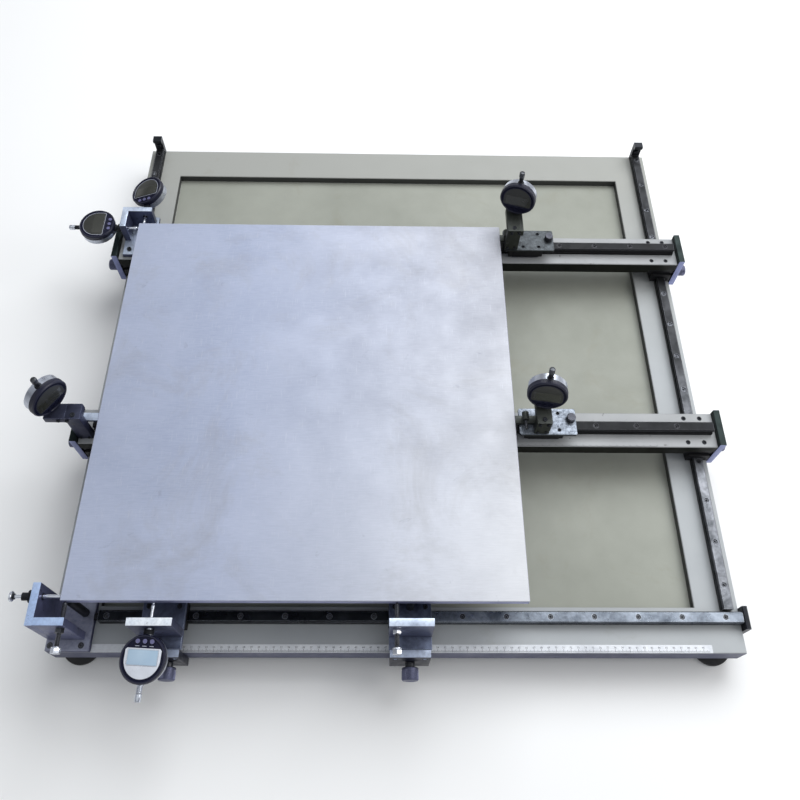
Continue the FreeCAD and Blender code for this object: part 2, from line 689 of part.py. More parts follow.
def lever(name):
    """A bell crank on a pin along y: its nose meets the plate, its arm lifts the spindle."""
    beam = "front_beam_y" if name != "rear_beam" else "rear_beam_y"
    pivot_x, pivot_z = LEVERS[name]["pivot"]
    nose = LEVERS[name]["nose"]
    arm_end, arm_top = LEVERS[name]["arm"]
    front = f"{beam} - lever_width / 2"
    hub = rod("hub_radius", "lever_width", (f"{pivot_x}", front, f"{pivot_z}"), "y")
    web = box(("6", "lever_width", f"{pivot_z} - lever_bottom"),
              (f"{pivot_x - 3}", front, "lever_bottom"))
    nose_low, nose_high = min(nose, pivot_x), max(nose, pivot_x)
    nose_bar = box((f"{nose_high - nose_low}", "lever_width", "lever_top - lever_bottom"),
                   (f"{nose_low}", front, "lever_bottom"))
    arm_low, arm_high = min(arm_end, pivot_x), max(arm_end, pivot_x)
    depth = "lever_width" if name != "rear_beam" else "lever_width + 12"
    arm = box((f"{arm_high - arm_low}", depth, "4.8"), (f"{arm_low}", front, f"{arm_top - 4.8}"))
    hole = rod("pin_radius + fit_gap", "lever_width + 2",
               (f"{pivot_x}", f"{front} - 1", f"{pivot_z}"), "y")
    return cut(fuse(hub, web, nose_bar, arm), hole)


def beam_carriage(side, post_shift):
    """The carriage on a beam: guide block, top plate with screw holes, and its bracket."""
    middle = f"{side}_beam_y"
    centre = "carriage_x + carriage_length / 2 - 4"
    block = lay(guide_block(), (centre, middle, "beam_top"))
    floor = "beam_top + block_top"
    plate = box(("carriage_length", "carriage_width", "carriage_plate"),
                ("carriage_x", f"{middle} - carriage_width / 2", floor))
    holes = [rod("2.4", "10", (f"{centre} + {across}", f"{middle} + {deep}", f"{floor} - 2"))
             for across in ("-6", "20") for deep in ("-13", "13")]
    lock_hole = rod("2.5 + fit_gap", "10", ("carriage_x + 76", f"{middle} + 4", f"{floor} - 2"))
    plate = cut(chamfer(plate, 0.8), *holes, lock_hole)
    post_x = f"carriage_x + {post_shift}"
    reach = (DIMENSIONS["carriage_x"] + post_shift,
             DIMENSIONS["carriage_x"] + post_shift + DIMENSIONS["post_width"])
    bracket = lever_bracket(post_x, f"{floor} + carriage_plate", f"{side}_beam", reach)
    finish(f"{side}_beam_carriage", group(block, plate, bracket))

    lock = turned([("0", "0"), ("2.5", "0"), ("2.5", "14"), ("6", "14"), ("6.5", "14.5"),
                   ("6.5", "21"), ("5.5", "22"), ("0", "22")])
    flute(lock, "6.5", "0.5", "13", "10", 18)
    place = ("carriage_x + 76", f"{middle} + 4", "beam_top + rail_height + touch_gap")
    finish(f"{side}_beam_lock_screw", lock,
           tuple(f"{text} + {shift}" for text, shift in zip(place, OFFSET)))
    finish(f"{side}_beam_lever", lever(f"{side}_beam"))


def beam_end_bracket():
    bracket = lever_bracket("0", "beam_top", "beam_end", (0.0, 22.0))
    finish("beam_end_bracket", bracket)
    finish("beam_end_lever", lever("beam_end"))


def rear_corner_bracket():
    """The bracket at the rear beam's left end, with the two indicators at the plate's corner."""
    foot = box(("50", "78", "8"), ("8", "604", "beam_top"))
    floor = "beam_top + 8"
    side = box(("wall_thick", "31", f"wall_top - ({floor})"), ("8", "632", floor))
    back = box(("48", "9", f"wall_top - ({floor})"), ("8", "663", floor))
    post = support_post("46", "638", floor)
    beam_post = support_post("600", "607", "beam_top")
    finish("rear_corner_bracket",
           group(chamfer(foot, 0.8), cut(chamfer(side, 0.8), stem_hole("left")),
                 cut(chamfer(back, 0.8), stem_hole("back")), post, beam_post))


# ---------------------------------------------------------------- build, check and write
def build():
    base_plate()
    table_rails()
    end_stops()
    fasteners()
    steel_ruler()
    levelling_feet()
    corner_bracket()
    stop_screw("corner_stop_screw", "corner_stop_x")
    corner_plunger()
    standard_plate()
    for side, support in (("left", False), ("right", True)):
        front_bracket(side, support)
        clamp_knob(f"{side}_bracket_knob",
                   (f"{side}_bracket_x + {side}_knob_offset", "-touch_gap", "knob_height"),
                   Rotation(Vector(1, 0, 0), 90), "apron_gap + apron_thick")
    stop_screw("right_stop_screw", "right_bracket_x + stop_offset")
    cross_beam("front", "22", 15)
    cross_beam("rear", "62", 15)
    beam_end_bracket()
    rear_corner_bracket()
    beam_carriage("front", 20)
    beam_carriage("rear", 0)
    indicators()


def check():
    doc.recompute()
    for item in doc.Objects:
        if "Invalid" in item.State or "Error" in item.State:
            raise RuntimeError(f"{item.Label} failed: {item.State}")
    for item in subparts:
        if item.Shape.isNull() or not item.Shape.isValid() or not item.Shape.Solids:
            raise RuntimeError(f"{item.Label} has no valid solid")


def write():
    os.makedirs("parts", exist_ok=True)
    for item in subparts:
        item.Shape.exportStep(os.path.join("parts", f"{item.Label}.step"))
    print(f"{len(subparts)} sub-parts written")


build()
check()
write()
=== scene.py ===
"""Visual model of a gauge table for flat plates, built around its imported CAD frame.

Lengths are millimetres in the table's own frame: x from the base's left edge, y from its front
edge, z from its top face.  spot() turns them into the frame's metres.
"""
import json
import math

import bmesh
import bpy
from mathutils import Matrix, Vector


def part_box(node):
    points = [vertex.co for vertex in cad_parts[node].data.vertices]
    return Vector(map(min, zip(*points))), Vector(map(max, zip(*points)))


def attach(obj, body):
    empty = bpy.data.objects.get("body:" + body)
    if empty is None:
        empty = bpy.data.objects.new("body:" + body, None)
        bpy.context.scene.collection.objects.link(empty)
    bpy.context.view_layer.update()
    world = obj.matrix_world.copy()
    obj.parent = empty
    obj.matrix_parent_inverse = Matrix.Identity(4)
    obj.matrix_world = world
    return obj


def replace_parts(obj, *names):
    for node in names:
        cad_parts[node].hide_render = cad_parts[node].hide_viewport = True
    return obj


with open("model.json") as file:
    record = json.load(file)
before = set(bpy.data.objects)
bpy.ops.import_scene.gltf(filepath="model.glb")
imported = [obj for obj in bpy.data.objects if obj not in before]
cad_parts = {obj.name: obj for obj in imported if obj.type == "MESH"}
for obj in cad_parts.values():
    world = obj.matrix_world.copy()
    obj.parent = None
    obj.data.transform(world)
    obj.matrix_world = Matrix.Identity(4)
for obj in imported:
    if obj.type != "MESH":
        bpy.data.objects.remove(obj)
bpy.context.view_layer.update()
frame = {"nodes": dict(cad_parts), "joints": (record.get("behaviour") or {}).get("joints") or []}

BASE_LOW, BASE_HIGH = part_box("base_plate")
JOINT_AXIS = {joint["name"]: Vector(joint["axis"]) for joint in frame["joints"]}
SMOOTH_ANGLE = math.radians(32)
X, Y, Z, FORWARD = (1, 0, 0), (0, 1, 0), (0, 0, 1), (0, -1, 0)

FRONT_RAIL_Y = 43.5
LEFT_RAIL_X, RIGHT_RAIL_X = 18.5, 921.5
BLOCK_WIDTH, BLOCK_LOW, BLOCK_TOP = 34, 4.5, 24
BRACKET_WIDTH = 57
WALL_FRONT, WALL_THICK, WALL_TOP = 14, 10, 102
SHELF_THICK = 8
SHELF_TOP = BLOCK_TOP + SHELF_THICK
TOUCH_HEIGHT = 86
SUPPORT_TOP = 79.7
STOP_HOLE, STEM_HOLE = 3.05, 4.05
CORNER_STOP_X, RIGHT_STOP_X = 42, 465


# ---------------------------------------------------------------- places
def spot(x, y, z):
    """A place on the table, in the frame's metres."""
    return Vector((BASE_LOW.x + x / 1000, BASE_LOW.y + y / 1000, BASE_HIGH.z + z / 1000))


def axes_at(origin, across, up):
    """Matrix from a piece's own millimetres, with its x and y along across and up."""
    across = Vector(across).normalized()
    up = Vector(up).normalized()
    out = across.cross(up)
    turn = Matrix((across, up, out)).transposed().to_4x4()
    return Matrix.Translation(origin) @ turn @ Matrix.Scale(0.001, 4)


def lying(x=0, y=0, z=0):
    """A place whose own axes run along the table's."""
    return axes_at(spot(x, y, z), X, Y)


def along_x(x, y, z):
    """A place whose own z runs to the right."""
    return axes_at(spot(x, y, z), Y, Z)


def along_y(x, y, z):
    """A place whose own z runs to the back."""
    return axes_at(spot(x, y, z), Z, X)


# ---------------------------------------------------------------- meshes
def add_piece(name, mesh, body, material, place=None):
    """Link a finished mesh as a piece that rides on a body."""
    if place is not None:
        mesh.transform(place)
    mesh.name = name
    for polygon in mesh.polygons:
        polygon.use_smooth = True
    mesh.set_sharp_from_angle(angle=SMOOTH_ANGLE)
    mesh.materials.clear()
    mesh.materials.append(MATERIAL[material])
    piece = bpy.data.objects.new(name, mesh)
    bpy.context.scene.collection.objects.link(piece)
    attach(piece, body)
    return piece


def finished(build):
    """The mesh that a bmesh holds."""
    mesh = bpy.data.meshes.new("mesh")
    build.to_mesh(mesh)
    build.free()
    return mesh


def joined(meshes):
    """One mesh made of several, which are removed."""
    build = bmesh.new()
    for mesh in meshes:
        build.from_mesh(mesh)
        bpy.data.meshes.remove(mesh)
    return finished(build)


def moved(mesh, place):
    mesh.transform(place)
    return mesh


def raised(mesh, height):
    return moved(mesh, Matrix.Translation((0, 0, height)))


def lathe(profile, segments=48, teeth=0, tooth_depth=0.0, tooth_span=(0, 0)):
    """A turned mesh about z from (radius, height) pairs, with optional teeth on one band."""
    count = max(segments, teeth * 4)
    build = bmesh.new()
    rings = []
    for radius, height in profile:
        if radius < 1e-6:
            rings.append([build.verts.new((0, 0, height))])
            continue
        toothed = teeth and tooth_span[0] <= height <= tooth_span[1]
        ring = []
        for step in range(count):
            angle = 2 * math.pi * step / count
            notch = toothed and step * teeth * 2 // count % 2
            reach = radius - (tooth_depth if notch else 0.0)
            place = (reach * math.cos(angle), reach * math.sin(angle), height)
            ring.append(build.verts.new(place))
        rings.append(ring)
    for low, high in zip(rings, rings[1:]):
        for step in range(count):
            after = (step + 1) % count
            places = ((low, step), (low, after), (high, after), (high, step))
            corners = dict.fromkeys(ring[number % len(ring)] for ring, number in places)
            if len(corners) > 2:
                build.faces.new(list(corners))
    bmesh.ops.recalc_face_normals(build, faces=build.faces)
    return finished(build)


def thread_profile(radius, start, end, pitch=1.0, depth=0.45):
    """Radius and height pairs of a ridged screw thread."""
    profile = []
    height = start
    while height < end - pitch:
        profile += [(radius, height), (radius, height + pitch * 0.15),
                    (radius - depth, height + pitch * 0.6)]
        height += pitch
    return profile + [(radius, height), (radius, end)]


def circle_points(radius, centre=(0, 0), count=40):
    angles = [2 * math.pi * step / count for step in range(count)]
    return [(centre[0] + radius * math.cos(angle), centre[1] + radius * math.sin(angle))
            for angle in angles]


def hexagon(flats):
    return circle_points(flats / math.sqrt(3), count=6)


def rectangle(x0, y0, x1, y1):
    return [(x0, y0), (x1, y0), (x1, y1), (x0, y1)]


def rounded_rectangle(low, high, radius, steps=5):
    points = []
    corners = ((high[0] - radius, high[1] - radius, 0), (low[0] + radius, high[1] - radius, 90),
               (low[0] + radius, low[1] + radius, 180), (high[0] - radius, low[1] + radius, 270))
    for across, up, start in corners:
        for step in range(steps + 1):
            angle = math.radians(start + 90 * step / steps)
            points.append((across + radius * math.cos(angle), up + radius * math.sin(angle)))
    return points


def curve_mesh(curve):
    """The mesh that a curve or a text makes; the curve is removed."""
    holder = bpy.data.objects.new("holder", curve)
    bpy.context.scene.collection.objects.link(holder)
    bpy.context.view_layer.update()
    final = holder.evaluated_get(bpy.context.evaluated_depsgraph_get())
    mesh = bpy.data.meshes.new_from_object(final)
    bpy.data.objects.remove(holder)
    bpy.data.curves.remove(curve)
    return mesh


def slab(outline, thickness, holes=(), bevel=0.5, start=0.0):
    """A flat plate with round or shaped holes and rounded edges, from start along z."""
    curve = bpy.data.curves.new("slab", "CURVE")
    curve.dimensions = "2D"
    curve.fill_mode = "BOTH"
    curve.extrude = thickness / 2 - bevel
    curve.bevel_depth = bevel
    curve.bevel_resolution = 2
    curve.offset = -bevel
    for points in (outline, *holes):
        spline = curve.splines.new("POLY")
        spline.points.add(len(points) - 1)
        for target, (across, up) in zip(spline.points, points):
            target.co = (across, up, 0, 1)
        spline.use_cyclic_u = True
    mesh = raised(curve_mesh(curve), start + thickness / 2)
    build = bmesh.new()
    build.from_mesh(mesh)
    bpy.data.meshes.remove(mesh)
    bmesh.ops.remove_doubles(build, verts=build.verts, dist=0.01)
    return finished(build)


def block(low, high, bevel):
    """A box between two corners with rounded edges."""
    build = bmesh.new()
    bmesh.ops.create_cube(build, size=1.0)
    size = [b - a for a, b in zip(low, high)]
    middle = [(a + b) / 2 for a, b in zip(low, high)]
    bmesh.ops.scale(build, vec=size, verts=build.verts)
    bmesh.ops.translate(build, vec=middle, verts=build.verts)
    bmesh.ops.bevel(build, geom=build.edges[:], offset=bevel, segments=2, profile=0.7,
                    affect="EDGES")
    return finished(build)


def socket_screw(radius, height, socket, depth):
    """A socket-head screw's head, standing on z = 0."""
    floor = height - depth
    hole = circle_points(socket, count=6)
    ring = slab(circle_points(radius, count=32), depth, [hole], 0.15 * radius, floor)
    under = lathe([(0, 0), (radius, 0), (radius, floor + 0.2), (0, floor + 0.2)], 32)
    return joined([ring, under])


def text_mesh(words, size):
    """Digits as a flat mesh, centred on its own origin, reading along x."""
    font = bpy.data.curves.new("digits", "FONT")
    font.body = words
    font.size = size
    font.extrude = 0.01
    font.align_x = "CENTER"
    font.resolution_u = 2
    return curve_mesh(font)


# ---------------------------------------------------------------- materials
def new_node(tree, kind, **values):
    """A shader node with its sockets set; an underscore in a name stands for a space."""
    node = tree.nodes.new(f"ShaderNode{kind}")
    for socket, value in values.items():
        node.inputs[socket.replace("_", " ")].default_value = value
    return node


def ramp_node(tree, stops):
    """A ramp of colours, or of grey levels, at places from 0 to 1."""
    node = new_node(tree, "ValToRGB")
    elements = node.color_ramp.elements
    while len(elements) < len(stops):
        elements.new(0.5)
    for element, (position, colour) in zip(elements, stops):
        element.position = position
        colour = (colour,) * 3 if isinstance(colour, (int, float)) else colour
        element.color = (*colour, 1.0)
    return node


# places of a colour mix's factor and two colours among its inputs, and of its result
MIX_SOCKETS, MIX_RESULT = (0, 6, 7), 2


class Surface:
    """A node material whose colour, roughness and bump vary over the surface."""

    def __init__(self, name, metallic=0.0, roughness=0.5, specular=0.5):
        self.material = bpy.data.materials.new(name)
        self.material.use_nodes = True
        self.tree = self.material.node_tree
        self.shader = self.tree.nodes["Principled BSDF"]
        self.shader.inputs["Metallic"].default_value = metallic
        self.shader.inputs["Roughness"].default_value = roughness
        self.shader.inputs["Specular IOR Level"].default_value = specular
        coordinates = new_node(self.tree, "TexCoord")
        self.place = coordinates.outputs["Object"]
        self.normal = coordinates.outputs["Normal"]

    def link(self, source, node, socket):
        self.tree.links.new(source, node.inputs[socket])

    def noise(self, scale, detail=4.0, rough=0.55, stretch=(1, 1, 1), distortion=0.0):
        stretched = new_node(self.tree, "Mapping", Scale=stretch)
        self.link(self.place, stretched, "Vector")
        node = new_node(self.tree, "TexNoise", Scale=scale, Detail=detail, Roughness=rough,
                        Distortion=distortion)
        self.link(stretched.outputs["Vector"], node, "Vector")
        return node.outputs["Fac"]

    def ramp(self, source, *stops):
        node = ramp_node(self.tree, stops)
        self.link(source, node, "Fac")
        return node.outputs["Color"]

    def mix(self, factor, first, second):
        """A mix of two colours, each a socket or three numbers."""
        node = new_node(self.tree, "Mix")
        node.data_type = "RGBA"
        for number, value in zip(MIX_SOCKETS, (factor, first, second)):
            if isinstance(value, bpy.types.NodeSocket):
                self.link(value, node, number)
            else:
                node.inputs[number].default_value = (*value, 1) if number else value
        return node.outputs[MIX_RESULT]

    def laid_over(self, tone, colour, strength, source, low, high):
        """A tone with a colour laid over it as far as a source has gone from low to high."""
        mask = self.mix(strength, (0, 0, 0), self.ramp(source, (low, 0.0), (high, 1.0)))
        return self.mix(mask, tone, colour)

    def edges(self, radius):
        """A mask that is bright where the surface turns a corner."""
        bevel = new_node(self.tree, "Bevel", Radius=radius)
        bevel.samples = 4
        plain = new_node(self.tree, "NewGeometry")
        dot = new_node(self.tree, "VectorMath")
        dot.operation = "DOT_PRODUCT"
        self.link(bevel.outputs["Normal"], dot, 0)
        self.link(plain.outputs["Normal"], dot, 1)
        return self.ramp(dot.outputs["Value"], (0.80, 1.0), (0.97, 0.0))

    def split(self, source):
        node = new_node(self.tree, "SeparateXYZ")
        self.link(source, node, "Vector")
        return dict(zip("XYZ", node.outputs))

    def rise(self, source, low, high):
        """A mask that rises from 0 to 1 between two values of a source."""
        node = new_node(self.tree, "MapRange", From_Min=low, From_Max=high)
        self.link(source, node, "Value")
        return node.outputs["Result"]

    def along(self, axis, low, high):
        """A mask that rises from 0 to 1 between two places along one axis, in metres."""
        return self.rise(self.split(self.place)[axis], low, high)

    def sides(self):
        """A mask that is bright on upright faces and dark on faces that look up; it places painted
        shade on upright faces.
        """
        return self.ramp(self.split(self.normal)["Z"], (0.50, 1.0), (0.75, 0.0))

    def fronts(self):
        """A mask that is bright on faces towards the front and dark on all others; it places
        painted light on front faces.
        """
        return self.rise(self.split(self.normal)["Y"], -0.5, -0.8)

    def inside(self, low, high):
        """A mask that is 1 between two places along both x and y."""
        places = self.split(self.place)
        both = new_node(self.tree, "Math")
        both.operation = "MULTIPLY"
        for number, axis in enumerate("XY"):
            near = new_node(self.tree, "Math")
            near.operation = "COMPARE"
            near.inputs[1].default_value = (low[number] + high[number]) / 2
            near.inputs[2].default_value = (high[number] - low[number]) / 2
            self.link(places[axis], near, 0)
            self.link(near.outputs["Value"], both, number)
        return both.outputs["Value"]

    def colour(self, source):
        self.link(source, self.shader, "Base Color")

    def roughness(self, source, low, high):
        self.link(self.ramp(source, (0.3, low), (0.7, high)), self.shader, "Roughness")

    def bumped(self, source, depth, strength):
        """The material, once its bump is in place; depth in metres."""
        node = new_node(self.tree, "Bump", Strength=strength, Distance=depth)
        self.link(source, node, "Height")
        self.link(node.outputs["Normal"], self.shader, "Normal")
        return self.material


def scaled(colour, factor):
    return tuple(factor * value for value in colour)


def paint_material():
    """Satin grey paint: faint stains, worn edges and scuffed sides, with painted shade: upright
    faces a darker blue-grey, and the recess walls and recess floor darker.
    """
    s = Surface("base_paint", roughness=0.5, specular=0.2)
    broad = s.noise(3.0, 6.0, 0.6)
    # The recess floor is painted darker than the margin: painted shade.
    shaded_recess_tone = s.ramp(broad, (0.35, (0.250, 0.260, 0.225)), (0.65, (0.330, 0.340, 0.300)))
    margin = s.ramp(broad, (0.35, (0.345, 0.365, 0.385)), (0.65, (0.420, 0.440, 0.455)))
    margin = s.mix(s.along("Y", 0.0, 0.4), margin, (0.33, 0.335, 0.315))
    tone = s.mix(s.along("Z", BASE_HIGH.z - 0.010, BASE_HIGH.z - 0.004), shaded_recess_tone, margin)
    stains = s.noise(9.0, 8.0, 0.7, distortion=0.6)
    tone = s.laid_over(tone, (0.24, 0.23, 0.17), 0.35, stains, 0.58, 0.75)
    cells = new_node(s.tree, "TexVoronoi", Scale=420.0)
    s.link(s.place, cells, "Vector")
    specks = s.ramp(cells.outputs["Distance"], (0.04, 1.0), (0.09, 0.0))
    tone = s.mix(s.mix(0.25, (0, 0, 0), specks), tone, (0.10, 0.10, 0.09))
    tone = s.mix(s.edges(0.0012), tone, (0.42, 0.43, 0.42))
    # Upright faces take a darker blue-grey: painted shade. The scuffs laid on them are real marks.
    side = s.ramp(s.noise(14.0, 6.0, 0.65), (0.35, (0.082, 0.088, 0.138)),
                  (0.65, (0.130, 0.138, 0.205)))
    scuffs = s.noise(30.0, 8.0, 0.75, (0.5, 1, 2.5), 1.5)
    side = s.laid_over(side, (0.025, 0.025, 0.035), 1.0, scuffs, 0.60, 0.66)
    # The recess's own upright walls are painted darker still: painted shade.
    recess_wall_shade = s.inside(spot(40, 40, 0), spot(900, 850, 0))
    side = s.mix(recess_wall_shade, side, (0.060, 0.062, 0.060))
    s.colour(s.mix(s.sides(), tone, side))
    s.roughness(s.noise(40.0), 0.42, 0.60)
    return s.bumped(s.noise(900.0, 2.0), 0.00008, 0.5)


def beam_material():
    """Grey paint on top; the upright sides are painted near-black olive as painted shade."""
    s = Surface("beam_paint", roughness=0.5, specular=0.1)
    tone = s.ramp(s.noise(6.0, 6.0, 0.65), (0.35, (0.33, 0.34, 0.35)), (0.65, (0.42, 0.43, 0.44)))
    tone = s.laid_over(tone, (0.12, 0.12, 0.11), 1.0, s.noise(120.0, 4.0, 0.7), 0.66, 0.70)
    # Near-black olive on upright faces: painted shade on the same grey paint.
    side = s.ramp(s.noise(9.0, 6.0, 0.65), (0.35, (0.004, 0.005, 0.004)),
                  (0.65, (0.011, 0.012, 0.009)))
    tone = s.mix(s.sides(), tone, side)
    s.colour(s.mix(s.edges(0.0006), tone, (0.18, 0.19, 0.19)))
    s.roughness(s.noise(50.0), 0.40, 0.58)
    return s.bumped(s.noise(900.0, 2.0), 0.00007, 0.5)


def plate_material():
    """Ground steel: cloudy, faintly cross-grained, stained and marked, with a worn rim. Painted
    light: a darker bluish left, a bright glare towards the front right, a darker back right and
    darker bluish upright sides.
    """
    s = Surface("plate_steel", metallic=0.35, roughness=0.5, specular=0.4)
    clouds = s.noise(4.0, 7.0, 0.6, distortion=0.4)
    # Painted light across the top: a shaded bluish tone to the left, and glare painted bright
    # towards the front right and dimmer towards the back right.
    left_shade_tone = s.ramp(clouds, (0.30, (0.30, 0.34, 0.46)), (0.70, (0.40, 0.44, 0.57)))
    back_right_shade_tone = s.ramp(clouds, (0.30, (0.27, 0.275, 0.305)), (0.70, (0.37, 0.375, 0.405)))
    right_glare_tone = s.ramp(clouds, (0.30, (0.46, 0.465, 0.480)), (0.70, (0.62, 0.625, 0.640)))
    right_glare_tone = s.mix(s.along("Y", -0.32, 0.08), right_glare_tone, back_right_shade_tone)
    tone = s.mix(s.along("X", -0.22, 0.20), left_shade_tone, right_glare_tone)
    grain = s.ramp(s.noise(60.0, 3.0, 0.6, (1, 14, 1)), (0.35, (0.26, 0.28, 0.35)),
                   (0.65, (0.54, 0.56, 0.64)))
    tone = s.mix(0.12, tone, grain)
    cross = s.noise(45.0, 3.0, 0.6, (16, 1, 1))
    tone = s.laid_over(tone, (0.50, 0.52, 0.58), 0.5, cross, 0.60, 0.75)
    stains = s.noise(6.5, 9.0, 0.72, distortion=0.9)
    tone = s.laid_over(tone, (0.26, 0.255, 0.255), 0.38, stains, 0.50, 0.72)
    marks = s.noise(38.0, 9.0, 0.72, distortion=1.0)
    tone = s.laid_over(tone, (0.20, 0.21, 0.26), 0.5, marks, 0.62, 0.74)
    # Upright sides in a darker bluish tone: painted shade.
    side = s.ramp(s.noise(25.0, 5.0, 0.6, (1, 1, 3)), (0.35, (0.24, 0.26, 0.42)),
                  (0.65, (0.42, 0.44, 0.66)))
    tone = s.mix(s.sides(), tone, side)
    s.colour(s.mix(s.edges(0.0010), tone, (0.66, 0.69, 0.78)))
    s.roughness(s.noise(14.0, 6.0, 0.65), 0.42, 0.60)
    return s.bumped(s.noise(500.0, 2.0, stretch=(1, 12, 1)), 0.00003, 0.4)


def steel_material(name, dark, light, edge, low, high, metallic=0.9, stretch=(1, 1, 8), side=None,
                   worn=0.0007, shadow_fade=None):
    """Machined steel with a directional grain, cloudy stains and bright edges, worn that wide.
    A side colour darkens upright faces as painted shade, and shadow_fade, a painted shadow, is an
    axis, two places along it and the brightness at the first."""
    s = Surface(name, metallic=metallic, roughness=0.4, specular=0.2)
    clouds = s.noise(30.0, 6.0, 0.65, distortion=0.5)
    tone = s.ramp(clouds, (0.32, dark), (0.68, light))
    # Painted shadow: the tone is dimmed towards one end along an axis.
    if shadow_fade:
        shadowed_tone = s.ramp(clouds, (0.32, scaled(dark, shadow_fade[3])), (0.68, scaled(light, shadow_fade[3])))
        tone = s.mix(s.along(*shadow_fade[:3]), shadowed_tone, tone)
    # Painted shade: upright faces take the darker side colour.
    if side:
        tone = s.mix(s.sides(), tone, s.ramp(clouds, (0.32, scaled(side, 0.6)), (0.68, side)))
    grain = s.noise(220.0, 3.0, 0.6, stretch)
    tone = s.mix(s.ramp(grain, (0.45, 0.0), (0.75, 0.3)), tone, scaled(side or dark, 0.7))
    s.colour(s.mix(s.edges(worn), tone, edge))
    s.roughness(s.noise(60.0, 5.0, 0.6), low, high)
    return s.bumped(grain, 0.00003, 0.5)


def mottled_material(name, dark, light):
    """Scraped or stained plate with a blotchy pattern; its upright faces are painted darker as
    shade.
    """
    s = Surface(name, metallic=0.6, roughness=0.4)
    blotch = s.noise(260.0, 6.0, 0.7, distortion=0.8)
    tone = s.ramp(blotch, (0.36, dark), (0.62, light))
    # Painted shade: upright faces darker.
    tone = s.mix(s.sides(), tone, scaled(dark, 0.5))
    s.colour(s.mix(s.edges(0.0006), tone, light))
    s.roughness(s.noise(90.0), 0.30, 0.50)
    return s.bumped(blotch, 0.00005, 0.4)


def end_plate_material():
    """Ground steel, blackened, with its front edge painted bright lavender as painted light."""
    s = Surface("end_plate_steel", metallic=0.5, roughness=0.4, specular=0.15)
    clouds = s.noise(30.0, 6.0, 0.65, distortion=0.5)
    black = s.ramp(clouds, (0.32, (0.008, 0.013, 0.013)), (0.68, (0.024, 0.034, 0.033)))
    # Painted light: the front-facing edge takes a bright lavender.
    front = s.ramp(clouds, (0.32, (0.20, 0.225, 0.40)), (0.68, (0.31, 0.34, 0.57)))
    s.colour(s.mix(s.edges(0.0006), s.mix(s.fronts(), black, front), (0.20, 0.22, 0.32)))
    s.roughness(s.noise(60.0, 5.0, 0.6), 0.30, 0.48)
    return s.bumped(s.noise(220.0, 3.0, 0.6, (8, 8, 1)), 0.00003, 0.5)


def plastic_material(name, colour, low, high, worn=None, specular=0.5):
    s = Surface(name, roughness=0.35, specular=specular)
    tone = s.ramp(s.noise(70.0, 5.0, 0.6), (0.3, scaled(colour, 0.82)), (0.7, colour))
    if worn:
        tone = s.mix(s.edges(0.0005), tone, worn)
    s.colour(tone)
    s.roughness(s.noise(120.0), low, high)
    return s.bumped(s.noise(1500.0, 2.0), 0.00002, 0.4)


def display_material(name, dark, light, low, high):
    """A display behind a clear glossy cover."""
    s = Surface(name, roughness=0.2)
    s.colour(s.ramp(s.noise(18.0, 3.0, 0.5), (0.35, dark), (0.65, light)))
    s.roughness(s.noise(30.0), low, high)
    s.shader.inputs["Coat Weight"].default_value = 0.5
    s.shader.inputs["Coat Roughness"].default_value = 0.08
    return s.material


